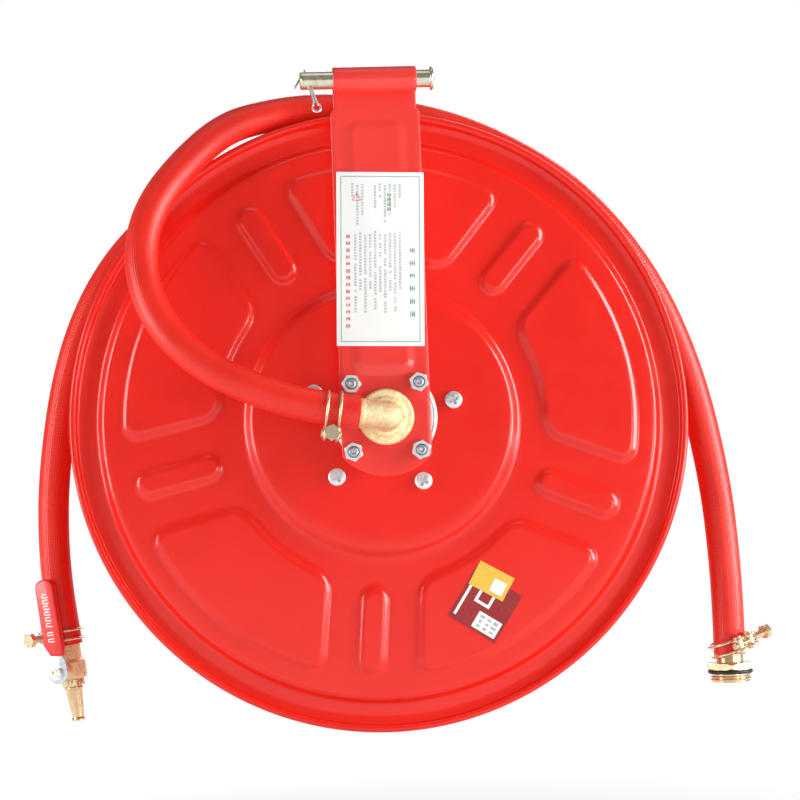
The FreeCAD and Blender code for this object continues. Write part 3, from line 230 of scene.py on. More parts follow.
class Shape:
    """Points and faces of a piece in the making, in millimetres."""

    def __init__(self):
        self.points = []
        self.faces = []

    def add(self, points, faces):
        first = len(self.points)
        self.points.extend(points)
        self.faces.extend([[first + corner for corner in face] for face in faces])
        return self

    def rings(self, rings, closed_ends=True, loop=False):
        """Joins rings of equally many points into a skin.  loop joins the last ring to the first."""
        count = len(rings[0])
        points = [point for ring in rings for point in ring]
        faces = []
        for row in range(len(rings) if loop else len(rings) - 1):
            base, above = row * count, (row + 1) % len(rings) * count
            for i in range(count):
                j = (i + 1) % count
                faces.append([base + i, base + j, above + j, above + i])
        if closed_ends and not loop:
            faces.append(list(range(count))[::-1])
            faces.append([(len(rings) - 1) * count + i for i in range(count)])
        return self.add(points, faces)

    def turned(self, profile, matrix, segments=64):
        """A turned solid: profile is a list of (radius, height), closed through the axis or on itself."""
        on_axis = profile[0][0] < 1e-6 and profile[-1][0] < 1e-6
        turns = [2 * math.pi * i / segments for i in range(segments)]
        rings = [[matrix @ Vector((radius * math.cos(turn), radius * math.sin(turn), height))
                  for turn in turns] for radius, height in profile if radius > 1e-6]
        return self.rings(rings, closed_ends=on_axis, loop=not on_axis)

    def chamfered_hexagon(self, flats, start, end, matrix, hole=0.0, turn=0.0):
        """A nut or bolt head with the curved chamfers that turning leaves on a hexagon."""
        steps = 10
        chamfer_radius = flats * 0.5 * 1.02
        slope = math.tan(math.radians(30))
        rows = [[] for _ in range(6)]
        for i in range(6 * steps):
            angle = 2 * math.pi * i / (6 * steps)
            from_flat = (angle + math.pi / 6) % (math.pi / 3) - math.pi / 6
            radius = flats / 2 / math.cos(from_flat)
            drop = max(radius - chamfer_radius, 0.0) * slope
            way = Vector((math.cos(angle + turn), math.sin(angle + turn), 0))
            inner = min(radius, chamfer_radius)
            levels = ((inner, start), (radius, start + drop + 0.01), (radius, end - drop - 0.01),
                      (inner, end), (hole, end), (hole, start))
            for row, (reach, height) in zip(rows, levels):
                row.append(matrix @ (way * reach + UP * height))
        return self.rings(rows, loop=True) if hole else self.rings(rows[:4])

    def rod(self, points, radius, sides=12, taper_ends=True):
        """A round wire through points."""
        points = [Vector(point) for point in points]
        rings = []
        for i, (point, (ahead, spokes)) in enumerate(zip(points, spokes_along(points, sides))):
            rings.append([point + spoke * radius for spoke in spokes])
            if taper_ends and i in (0, len(points) - 1):
                out = -ahead if i == 0 else ahead
                cap = [point + out * radius * 0.35 + spoke * radius * 0.6 for spoke in spokes]
                rings.insert(0, cap) if i == 0 else rings.append(cap)
        return self.rings(rings)

    def box(self, corners):
        """A block from the four corners of one face, then the four across from them."""
        sides = [[i, (i + 1) % 4, (i + 1) % 4 + 4, i + 4] for i in range(4)]
        return self.add(corners, [[0, 3, 2, 1], [4, 5, 6, 7]] + sides)

    def thread(self, matrix, radius, start, end, pitch, depth, segments=32, steps=6):
        """An outside screw thread as a helical ridge on a core, closed at both ends."""
        rings = []
        count = max(2, round((end - start) / pitch * steps))
        for row in range(count + 1):
            height = start + (end - start) * row / count
            ring = []
            for i in range(segments):
                share = i / segments
                phase = (height / pitch - share) % 1.0
                ridge = 1 - abs(2 * phase - 1)
                near_end = min(height - start, end - height) / pitch
                out = radius - depth * (1 - ridge) - depth * 0.8 * (1 - smooth_step(near_end))
                turn = 2 * math.pi * share
                ring.append(matrix @ Vector((out * math.cos(turn), out * math.sin(turn), height)))
            rings.append(ring)
        return self.rings(rings)

    def mesh(self, name):
        """A mesh in metres with its faces turned outward."""
        mesh = bpy.data.meshes.new(name)
        mesh.from_pydata([Vector(point) * MM for point in self.points], [], self.faces)
        mesh.validate()
        tidy = bmesh.new()
        tidy.from_mesh(mesh)
        bmesh.ops.remove_doubles(tidy, verts=tidy.verts, dist=1e-7)
        bmesh.ops.recalc_face_normals(tidy, faces=tidy.faces)
        tidy.to_mesh(mesh)
        tidy.free()
        return mesh

    def piece(self, name, *facts, **more):
        """Makes the piece; the rest of the arguments are those of finish_piece."""
        return finish_piece(name, self.mesh(name), *facts, **more)


def rounded_profile(profile, radius):
    """A turned profile whose corners are small arcs."""
    steps = 3
    closed = not (profile[0][0] < 1e-6 and profile[-1][0] < 1e-6)
    corners = [Vector((r, h, 0)) for r, h in profile]
    result = []
    count = len(corners)
    for i, corner in enumerate(corners):
        if not closed and i in (0, count - 1):
            result.append((corner.x, corner.y))
            continue
        before, after = corners[i - 1] - corner, corners[(i + 1) % count] - corner
        reach = min(radius, 0.45 * before.length, 0.45 * after.length)
        start, end = corner + before.normalized() * reach, corner + after.normalized() * reach
        for step in range(steps + 1):
            t = step / steps
            place = start * (1 - t) ** 2 + corner * 2 * t * (1 - t) + end * t * t
            result.append((place.x, place.y))
    return result


def arc(centre, across, up, radius, start, end, steps):
    """Points on an arc in the plane of two unit vectors, from start to end degrees."""
    points = []
    for i in range(steps + 1):
        turn = math.radians(start + (end - start) * i / steps)
        points.append(Vector(centre) + (across * math.cos(turn) + up * math.sin(turn)) * radius)
    return points


def plate(outline, start, end, matrix, bevel, body, name, material, slot=None, segments=3, node=None):
    """A flat plate with rounded edges: outline is in local X and Y, thickness along local Z."""
    mesh = bpy.data.meshes.new(name)
    work = bmesh.new()
    corners = [work.verts.new(matrix @ Vector((x, y, start))) for x, y in outline]
    face = work.faces.new(corners)
    grown = bmesh.ops.extrude_face_region(work, geom=[face])
    moved = [item for item in grown["geom"] if isinstance(item, bmesh.types.BMVert)]
    lift = matrix.to_3x3() @ Vector((0, 0, end - start))
    bmesh.ops.translate(work, verts=moved, vec=lift)
    bmesh.ops.recalc_face_normals(work, faces=work.faces)
    rims = [edge for edge in work.edges if any(len(side.verts) > 4 for side in edge.link_faces)]
    bmesh.ops.bevel(work, geom=rims, offset=bevel, segments=segments, profile=0.5, affect="EDGES")
    bmesh.ops.scale(work, vec=(MM, MM, MM), verts=work.verts)
    work.to_mesh(mesh)
    work.free()
    return finish_piece(name, mesh, body, material, slot, node=node)


def rounded_outline(corners, radius):
    """A polygon with its corners rounded; radius is one number or one for each corner."""
    steps = 6
    radii = radius if isinstance(radius, (list, tuple)) else [radius] * len(corners)
    points = []
    count = len(corners)
    for i, (corner, size) in enumerate(zip(corners, radii)):
        here = Vector((*corner, 0))
        before = Vector((*corners[i - 1], 0)) - here
        after = Vector((*corners[(i + 1) % count], 0)) - here
        half = before.angle(after) / 2
        reach = min(size / math.tan(half), 0.49 * before.length, 0.49 * after.length)
        size = reach * math.tan(half)
        centre = here + (before.normalized() + after.normalized()).normalized() * (size / math.sin(half))
        first = here + before.normalized() * reach - centre
        last = here + after.normalized() * reach - centre
        sweep = first.xy.angle_signed(last.xy)
        for step in range(steps + 1):
            turned = Matrix.Rotation(-sweep * step / steps, 3, "Z") @ first
            points.append(tuple((centre + turned).xy))
    return points


# --- materials
class Nodes:
    """A material's node tree with short calls to build it."""

    def __init__(self, name):
        self.material = bpy.data.materials.new(name)
        self.material.use_nodes = True
        self.tree = self.material.node_tree
        self.shader = self.tree.nodes["Principled BSDF"]
        self.place = self.make("ShaderNodeTexCoord")

    def make(self, kind, **settings):
        node = self.tree.nodes.new(kind)
        for key, value in settings.items():
            setattr(node, key, value)
        return node

    def link(self, source, target):
        self.tree.links.new(source, target)

    def noise(self, scale, detail=4.0, rough=0.5, stretch=None):
        node = self.make("ShaderNodeTexNoise")
        node.inputs["Scale"].default_value = scale
        node.inputs["Detail"].default_value = detail
        node.inputs["Roughness"].default_value = rough
        source = self.place.outputs["Object"]
        if stretch:
            mapping = self.make("ShaderNodeMapping")
            mapping.inputs["Scale"].default_value = stretch
            self.link(source, mapping.inputs["Vector"])
            source = mapping.outputs["Vector"]
        self.link(source, node.inputs["Vector"])
        return node.outputs["Fac"]

    def ramp(self, factor, stops):
        node = self.make("ShaderNodeValToRGB")
        elements = node.color_ramp.elements
        elements[0].position, elements[0].color = stops[0][0], (*stops[0][1], 1)
        elements[1].position, elements[1].color = stops[-1][0], (*stops[-1][1], 1)
        for place, colour in stops[1:-1]:
            elements.new(place).color = (*colour, 1)
        self.link(factor, node.inputs["Fac"])
        return node.outputs["Color"]

    def spread(self, factor, low, high, start=0.3, end=0.7):
        node = self.make("ShaderNodeMapRange")
        for socket, value in (("From Min", start), ("From Max", end), ("To Min", low), ("To Max", high)):
            node.inputs[socket].default_value = value
        self.link(factor, node.inputs["Value"])
        return node.outputs["Result"]

    def feed(self, socket, value):
        """Links a socket to another one, or gives it a number or a colour."""
        if isinstance(value, bpy.types.NodeSocket):
            self.link(value, socket)
        elif isinstance(value, tuple):
            socket.default_value = (*value, 1)
        else:
            socket.default_value = value

    def math(self, operation, first, second):
        node = self.make("ShaderNodeMath", operation=operation)
        self.feed(node.inputs[0], first)
        self.feed(node.inputs[1], second)
        return node.outputs["Value"]

    def mix(self, factor, first, second):
        node = self.make("ShaderNodeMix", data_type="RGBA")
        self.link(factor, node.inputs[0])
        self.feed(node.inputs[6], first)
        self.feed(node.inputs[7], second)
        return node.outputs[2]

    def bump(self, height, strength, distance):
        node = self.make("ShaderNodeBump")
        node.inputs["Strength"].default_value = strength
        node.inputs["Distance"].default_value = distance
        self.link(height, node.inputs["Height"])
        self.link(node.outputs["Normal"], self.shader.inputs["Normal"])

    def edges(self, start, end):
        """How much an edge stands out: 0 on flats and 1 on worn edges."""
        node = self.make("ShaderNodeNewGeometry")
        return self.spread(node.outputs["Pointiness"], 0.0, 1.0, start, end)

    def set(self, **values):
        for name, value in values.items():
            self.shader.inputs[name.replace("_", " ")].default_value = value


def red_paint(name, stops):
    """Gloss powder coat: faint orange peel, a little unevenness in colour, thinner and paler on edges."""
    n = Nodes(name)
    colour = n.ramp(n.noise(9.0, 3.0), stops)
    worn = n.math("MULTIPLY", n.edges(0.53, 0.60), n.spread(n.noise(160.0, 3.0), 0.0, 0.55))
    n.link(n.mix(worn, colour, (0.92, 0.12, 0.08)), n.shader.inputs["Base Color"])
    n.link(n.spread(n.noise(55.0, 5.0), 0.17, 0.27), n.shader.inputs["Roughness"])
    n.bump(n.noise(520.0, 2.0), 0.12, 0.0006)
    n.set(Specular_IOR_Level=0.45, Coat_Weight=0.2, Coat_Roughness=0.12)
    return n.material


def hose_rubber():
    """Red rubber with the print of its woven reinforcement: fine crossed helices along the hose."""
    n = Nodes("hose_rubber")
    split = n.make("ShaderNodeSeparateXYZ")
    n.link(n.place.outputs["UV"], split.inputs["Vector"])
    around, along = split.outputs["X"], split.outputs["Y"]

    def wave(count, phase):
        return n.math("SINE", n.math("MULTIPLY", phase, 2 * math.pi * count), 0.0)

    left, right = (n.math("ADD", n.math("MULTIPLY", around, hand), n.math("MULTIPLY", along, 190.0))
                   for hand in (26.0, -26.0))
    weave = n.math("MULTIPLY", wave(1, left), wave(1, right))
    ribs = wave(44, around)
    grain = n.noise(900.0, 3.0)
    fine = n.math("ADD", n.math("MULTIPLY", ribs, 0.25), grain)
    height = n.math("ADD", n.math("MULTIPLY", weave, 0.6), fine)
    stops = [(0.3, (0.80, 0.018, 0.008)), (0.55, (0.89, 0.024, 0.011)), (0.75, (0.94, 0.034, 0.018))]
    colour = n.ramp(n.noise(22.0, 4.0), stops)
    dust = n.spread(n.math("MULTIPLY", weave, n.noise(14.0, 2.0)), 0.0, 0.07, 0.15, 0.7)
    n.link(n.mix(dust, colour, (0.90, 0.20, 0.14)), n.shader.inputs["Base Color"])
    n.link(n.spread(grain, 0.26, 0.40), n.shader.inputs["Roughness"])
    n.bump(height, 0.30, 0.0004)
    n.set(Specular_IOR_Level=0.48)
    return n.material


def metal(name, stops, roughness, scales, bump, stretch=None, worn=None):
    """A bare or plated metal: colour from a slow noise, roughness and bump from a fine one."""
    n = Nodes(name)
    cloud_scale, grain_scale = scales
    colour = n.ramp(n.noise(cloud_scale, 4.0, 0.6), stops)
    if worn:
        colour = n.mix(n.edges(0.53, 0.62), colour, worn)
    n.link(colour, n.shader.inputs["Base Color"])
    grain = n.noise(grain_scale, 5.0, 0.6, stretch)
    n.link(n.spread(grain, *roughness), n.shader.inputs["Roughness"])
    n.bump(grain, *bump)
    n.set(Metallic=0.88)
    return n.material


def moulded(name, low, high, roughness, grain_scale, bump, coat=0.0):
    """Rubber, vinyl, plastic, card and ink: two close colours, fine grain, varying gloss."""
    n = Nodes(name)
    n.link(n.ramp(n.noise(40.0, 4.0), [(0.3, low), (0.7, high)]), n.shader.inputs["Base Color"])
    grain = n.noise(grain_scale, 4.0)
    n.link(n.spread(grain, *roughness), n.shader.inputs["Roughness"])
    n.bump(grain, *bump)
    n.set(Coat_Weight=coat)
    return n.material


# Metals: colour stops, roughness, scales of colour and grain, bump, stretch of the grain, colour of edges.
METALS = {
    # Chromate passivation wanders from straw to pink and green.
    "yellow_zinc": ([(0.30, (0.62, 0.52, 0.26)), (0.42, (0.78, 0.60, 0.30)), (0.5, (0.86, 0.62, 0.46)),
                     (0.6, (0.80, 0.66, 0.34)), (0.75, (0.56, 0.62, 0.34))],
                    (0.2, 0.36), (160.0, 1400.0), (0.2, 0.0002), None, (0.82, 0.78, 0.66)),
    # Sand-cast and lightly tumbled: grainy, with darker hollows and brighter high spots.
    "cast_brass": ([(0.25, (0.76, 0.50, 0.22)), (0.45, (0.96, 0.74, 0.40)), (0.75, (1.0, 0.88, 0.62))],
                   (0.36, 0.6), (300.0, 700.0), (1.0, 0.0012), None, (1.0, 0.90, 0.66)),
    "turned_brass": ([(0.3, (0.72, 0.47, 0.26)), (0.6, (0.88, 0.64, 0.38)), (0.8, (0.93, 0.72, 0.48))],
                     (0.16, 0.3), (90.0, 700.0), (0.16, 0.0002), (1, 1, 6), (0.92, 0.76, 0.46)),
    "zinc_steel": ([(0.3, (0.76, 0.78, 0.80)), (0.55, (0.92, 0.93, 0.94)), (0.75, (0.98, 0.98, 0.97))],
                   (0.34, 0.52), (110.0, 900.0), (0.2, 0.0002), None, (0.92, 0.92, 0.92)),
    "wire_zinc": ([(0.3, (0.62, 0.68, 0.70)), (0.7, (0.86, 0.88, 0.88))],
                  (0.14, 0.26), (200.0, 1200.0), (0.12, 0.0001), (1, 1, 0.2)),
    "stud_zinc": ([(0.3, (0.22, 0.24, 0.28)), (0.6, (0.42, 0.45, 0.50)), (0.8, (0.60, 0.62, 0.66))],
                  (0.36, 0.55), (240.0, 1300.0), (0.3, 0.0002), None, (0.80, 0.82, 0.85)),
    # Bright zinc with a straw tint, finely turned along the pin.
    "pin_zinc": ([(0.3, (0.42, 0.36, 0.24)), (0.42, (0.74, 0.69, 0.52)), (0.6, (0.84, 0.80, 0.64)),
                  (0.8, (0.92, 0.89, 0.76))],
                 (0.10, 0.24), (130.0, 1100.0), (0.08, 0.0001), (6, 1, 1), (0.96, 0.95, 0.88)),
    # Dull plated sheet, blotched where it was handled.
    "lever_zinc": ([(0.3, (0.48, 0.50, 0.54)), (0.5, (0.66, 0.68, 0.71)), (0.75, (0.80, 0.81, 0.83))],
                   (0.24, 0.42), (190.0, 1000.0), (0.2, 0.0002), None, (0.88, 0.89, 0.90)),
    "bare_steel": ([(0.3, (0.72, 0.70, 0.70)), (0.6, (0.86, 0.83, 0.83)), (0.8, (0.94, 0.91, 0.91))],
                   (0.26, 0.42), (60.0, 800.0), (0.2, 0.0002), (1, 8, 1), (0.90, 0.88, 0.88)),
    "cast_aluminium": ([(0.3, (0.48, 0.49, 0.50)), (0.7, (0.72, 0.73, 0.74))],
                       (0.36, 0.55), (80.0, 700.0), (0.45, 0.0005), None, (0.82, 0.82, 0.83)),
    "chrome_ball": ([(0.3, (0.80, 0.80, 0.81)), (0.7, (0.90, 0.90, 0.91))],
                    (0.05, 0.12), (60.0, 900.0), (0.05, 0.0001)),
}

# The rest: two colours, roughness, scale of the grain, bump and clear coat.
MOULDED = {
    "label_card": ((0.93, 0.94, 0.92), (0.97, 0.98, 0.96), (0.35, 0.5), 600.0, (0.1, 0.0002)),
    "label_ink": ((0.20, 0.42, 0.28), (0.30, 0.50, 0.36), (0.5, 0.6), 900.0, (0.1, 0.0001)),
    "grey_ink": ((0.42, 0.46, 0.42), (0.52, 0.55, 0.52), (0.5, 0.6), 900.0, (0.1, 0.0001)),
    "red_ink": ((0.70, 0.10, 0.09), (0.78, 0.16, 0.14), (0.5, 0.6), 900.0, (0.1, 0.0001)),
    "bush_plastic": ((0.78, 0.77, 0.70), (0.86, 0.85, 0.79), (0.4, 0.55), 700.0, (0.15, 0.0002)),
    "nylon_ring": ((0.10, 0.14, 0.20), (0.16, 0.20, 0.27), (0.35, 0.5), 900.0, (0.15, 0.0002)),
    "seal_rubber": ((0.010, 0.010, 0.011), (0.022, 0.022, 0.024), (0.35, 0.55), 900.0, (0.25, 0.0002)),
    "grip_vinyl": ((0.84, 0.018, 0.013), (0.92, 0.026, 0.018), (0.26, 0.4), 500.0, (0.15, 0.0003), 0.3),
    "sticker_yellow": ((0.85, 0.50, 0.04), (0.90, 0.60, 0.08), (0.25, 0.35), 600.0, (0.05, 0.0001), 0.4),
    "sticker_maroon": ((0.30, 0.006, 0.008), (0.36, 0.012, 0.014), (0.25, 0.35), 600.0, (0.05, 0.0001), 0.4),
}

MATERIALS = {
    "red_paint": red_paint("red_paint", [(0.30, (0.80, 0.014, 0.006)), (0.55, (0.86, 0.017, 0.008)),
                                         (0.8, (0.90, 0.021, 0.011))]),
    # The arm gets a copy of the drum's red that is paler and pinker all over.
    "arm_paint": red_paint("arm_paint", [(0.30, (0.84, 0.042, 0.034)), (0.55, (0.88, 0.050, 0.040)),
                                         (0.8, (0.92, 0.058, 0.047))]),
    "hose_rubber": hose_rubber(),
}
MATERIALS.update({name: metal(name, *facts) for name, facts in METALS.items()})
MATERIALS.update({name: moulded(name, *facts) for name, facts in MOULDED.items()})

for name, node in frame["nodes"].items():
    node.data.materials.clear()
    node.data.materials.append(MATERIALS[SLOT_OF_NODE[name]])


# --- hoses
def hose_mesh(name, path, body, sides):
    """The hose's skin along its path, in metres, with U round the hose and V along it."""
    along = [0.0]
    for before, after in zip(path, path[1:]):
        along.append(along[-1] + (after - before).length)
    skin = Shape().rings([[point + spoke * HOSE_RADIUS * MM for spoke in spokes]
                          for point, (_, spokes) in zip(path, spokes_along(path, sides))])
    mesh = bpy.data.meshes.new(name)
    mesh.from_pydata(skin.points, [], skin.faces)
    layer = mesh.uv_layers.new(name="UVMap")
    for number, face in enumerate(mesh.polygons):
        row, column = divmod(number, sides)
        for corner, loop in enumerate(face.loop_indices):
            if len(face.loop_indices) > 4:
                layer.data[loop].uv = (0.0, 0.0)
            else:
                layer.data[loop].uv = ((column + (corner in (1, 2))) / sides, along[row + (corner in (2, 3))])
    return finish_piece(name, mesh, body, "hose_rubber"), along[-1]


def make_hoses():
    """The three stretches of hose; each replaces its CAD solid."""
    coil_end = polar(FIRST_LAYER_RADIUS + LAYER_STEP * (COIL_LAYERS - 1),
                     COIL_START_ANGLE + 360 * COIL_LAYERS * TURNS_IN_LAYER, COIL_BACK)
    hoses = [
        ("inlet_hose", "inlet_hose_skin", [elbow_point(22.2)] + INLET_ROUTE, 8, 32, "arm", "connector",
         "hanging", ["coupling_turned", "coupling_ring", "coupling_wires", "coupling_barrels",
                     "coupling_bolt"]),
        ("wound_hose", "wound_hose_turns", coil_route(), 3, 16, "drum", "object", "coiled", []),
        ("tail_hose", "tail_hose_skin", [coil_end] + TAIL_ROUTE, 8, 32, "arm", "fitting", "hanging",
         ["valve_casting", "packing_nut", "nozzle_turned", "lever_blade", "grip_sleeve", "grip_marks",
          "stem_nut", "valve_stem_thread", "valve_ball", "valve_seats", "tail_wires", "tail_barrels",
          "tail_bolt"]),
    ]
    for node, name, route, detail, sides, body, far_end, lay, fittings in hoses:
        path = route_points(route, detail)
        hose, length = hose_mesh(name, path, body, sides)
        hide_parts(node)


# --- pressed discs
SHEET = 1.5
PRESS_HEIGHT = 3.0
HUB_FACE, DISH_FACE, RIM_FACE = 48.0, 55.0, 61.0


def spaced(stretches):
    """Values along stretches of (start, end, step), without repeats."""
    values = []
    for start, end, step in stretches:
        count = max(1, round((end - start) / step))
        values.extend(start + (end - start) * i / count for i in range(count))
    return values + [stretches[-1][1]]


def blend_step(value, start, end, low, high):
    return low + (high - low) * smooth_step((value - start) / (end - start))


def disc_depth(radius):
    """Depth of the front disc's front face at a radius, before its sectors and slots are pressed."""
    if radius < 160:
        return blend_step(radius, 102.5, 112.5, HUB_FACE, DISH_FACE)
    return blend_step(radius, 220.5, 229.5, DISH_FACE, RIM_FACE)


def rounded_distance(distances, corner):
    """Signed distance to a shape given the distances to its sides, with its corners rounded."""
    outside = math.sqrt(sum(max(d + corner, 0.0) ** 2 for d in distances))
    return outside + min(max(distances) + corner, 0.0) - corner


SECTOR_INNER, SECTOR_OUTER = 129.0, 208.0
SECTOR_INNER_HALF, SECTOR_OUTER_HALF = 45.0, 91.0
SLOT_INNER, SLOT_OUTER, SLOT_HALF = 133.0, 204.0, 12.0


def press_amount(radius, degrees):
    """How far the sectors and slots lift the sheet at a place, from 0 to 1."""
    turn = math.radians((degrees - DRUM_PHASE + 36) % 72 - 36)
    x, y = radius * math.cos(turn), abs(radius * math.sin(turn))
    inner_x = math.sqrt(SECTOR_INNER ** 2 - SECTOR_INNER_HALF ** 2)
    outer_x = math.sqrt(SECTOR_OUTER ** 2 - SECTOR_OUTER_HALF ** 2)
    slope = math.atan2(SECTOR_OUTER_HALF - SECTOR_INNER_HALF, outer_x - inner_x)
    beside = (y - SECTOR_INNER_HALF) * math.cos(slope) - (x - inner_x) * math.sin(slope)
    sector = rounded_distance((beside, max(radius - SECTOR_OUTER, SECTOR_INNER - radius)), 15.0)
    turn = math.radians((degrees - DRUM_PHASE) % 72 - 36)
    x, y = radius * math.cos(turn), abs(radius * math.sin(turn))
    beyond = max(x - (SLOT_OUTER - SLOT_HALF), (SLOT_INNER + SLOT_HALF) - x, 0.0)
    slot = math.hypot(beyond, y) - SLOT_HALF
    ramp = 6.0
    return smooth_step(0.1 - min(sector, slot) / ramp)


def make_disc(name, node, facing):
    """A pressed disc with its rolled lip; facing is 1 for the front one and -1 for the rear one."""
    fine, coarse = 1.25, 4.5
    face = [(r, disc_depth(r), 1.0) for r in spaced([
        (34.0, 102.0, 9.0), (102.0, 113.0, fine), (113.0, 124.0, 5.5), (124.0, 150.0, 1.6),
        (150.0, 190.0, coarse), (190.0, 213.0, 1.6), (213.0, 220.0, 3.5), (220.0, 230.0, fine),
        (230.0, 242.0, 6.0)])]
    bead = [(247.0 + 3.0 * math.cos(a), 58.0 + 3.0 * math.sin(a), 0.0)
            for a in (math.radians(165 + 15 * i) for i in range(18))]
    lip_foot = [(243.2, 60.3, 0.0), (243.9, 59.3, 0.0)]
    inner = [(r, disc_depth(r) + SHEET, 1.0) for r in spaced([
        (34.0, 102.0, 17.0), (102.0, 113.0, 3.6), (113.0, 124.0, 5.5), (124.0, 150.0, 3.2),
        (150.0, 190.0, 10.0), (190.0, 213.0, 3.2), (213.0, 220.0, 7.0), (220.0, 230.0, 3.3),
        (230.0, 243.0, 7.0)])][::-1]
    section = face + lip_foot + bead + inner
    angles = []
    for sector in range(5):
        angles.extend(DRUM_PHASE + 72 * sector + a for a in spaced([
            (-36.0, -29.5, 0.45), (-29.5, -17.0, 0.5), (-17.0, 17.0, 2.0), (17.0, 29.5, 0.5),
            (29.5, 36.0, 0.45)])[:-1])
    rings = []
    for angle in angles:
        ring = []
        for radius, depth, pressed in section:
            if pressed and 118.0 < radius < 216.0:
                depth -= PRESS_HEIGHT * press_amount(radius, angle)
            ring.append(polar(radius, angle, depth if facing > 0 else MIRROR_DEPTH - depth))
        rings.append(ring)
    Shape().rings(rings, loop=True).piece(name, "drum", "red_paint", sharp=60, node=node)


make_disc("front_disc_pressing", "front_disc", 1)
make_disc("rear_disc_pressing", "rear_disc", -1)


# --- swing arm
ARM_SHEET = 3.0
EYE_MIDDLE_RADIUS = 7.07 + ARM_SHEET / 2
ARM_MIDDLE = EYE_MIDDLE_RADIUS
EYE_HALF_WIDTH, ARM_HALF_WIDTH = 32.7, 35.2
ARM_END_RADIUS = 46.4
ARM_FRONT_FACE = 7.07
EYE_END = 311.0


def arm_half_width(height):
    """Half the arm's width at a height; its foot is an arc about the drum's axis."""
    if height > -22.0:
        return EYE_HALF_WIDTH
    if height > -25.0:
        return EYE_HALF_WIDTH + (ARM_HALF_WIDTH - EYE_HALF_WIDTH) * (-22.0 - height) / 3.0
    below = AXIS_Z - height
    if below <= 0:
        return ARM_HALF_WIDTH
    return min(ARM_HALF_WIDTH, math.sqrt(max(ARM_END_RADIUS ** 2 - below ** 2, 0.0)))


def panel_lift(x, height):
    """How far the arm's pressed panel stands forward at a place."""
    middle, half_height = -131.0, 100.0
    distance = rounded_distance((abs(x) - 24.0, abs(height - middle) - half_height), 11.0)
    return 2.0 * smooth_step(0.5 - (distance + 2.6) / 8.5)


def make_arm():
    """One sheet: rolled round the pin at the top, flat below, with a pressed panel and a round foot."""
    stations = [("eye", EYE_END - EYE_END * i / 40) for i in range(41)]
    foot = [AXIS_Z - ARM_END_RADIUS * math.sin(math.radians(a)) for a in spaced([(36.0, 89.4, 3.0)])]
    flat = spaced([(1.0, 21.0, 5.0), (21.0, 26.0, 1.0), (26.0, 44.0, 1.0), (44.0, 218.0, 10.0),
                   (218.0, 236.0, 1.0), (236.0, 292.0, 8.0)])
    stations += [("flat", -drop) for drop in flat[:-1]] + [("flat", height) for height in foot]
    across = spaced([(-1.0, -0.82, 0.09), (-0.82, -0.40, 0.03), (-0.40, 0.40, 0.10), (0.40, 0.82, 0.03),
                     (0.82, 1.0, 0.09)])
    edge = 0.6
    rings = []
    for kind, value in stations:
        if kind == "eye":
            turn = math.radians(value)
            outward = Vector((0, math.cos(turn), math.sin(turn)))
            centre = outward * EYE_MIDDLE_RADIUS
            front, half, height = -outward, EYE_HALF_WIDTH, 1e3
        else:
            front, half, height = FRONT, arm_half_width(value), value
            centre = Vector((0, ARM_MIDDLE, value))
        ring = []
        inner_half = max(half - edge, 0.2)
        for side, shares in ((1, across), (-1, across[::-1])):
            for share in shares:
                x = share * inner_half
                lift = panel_lift(x, height) if kind == "flat" else 0.0
                ring.append(centre + RIGHT * x + front * (side * ARM_SHEET / 2 + lift))
            for step in (side, -side):
                ring.append(centre + RIGHT * side * half + front * step * (ARM_SHEET / 2 - edge))
        rings.append(ring)
    Shape().rings(rings).piece("swing_arm_sheet", "arm", "arm_paint", "red_paint", sharp=50, node="swing_arm")


make_arm()


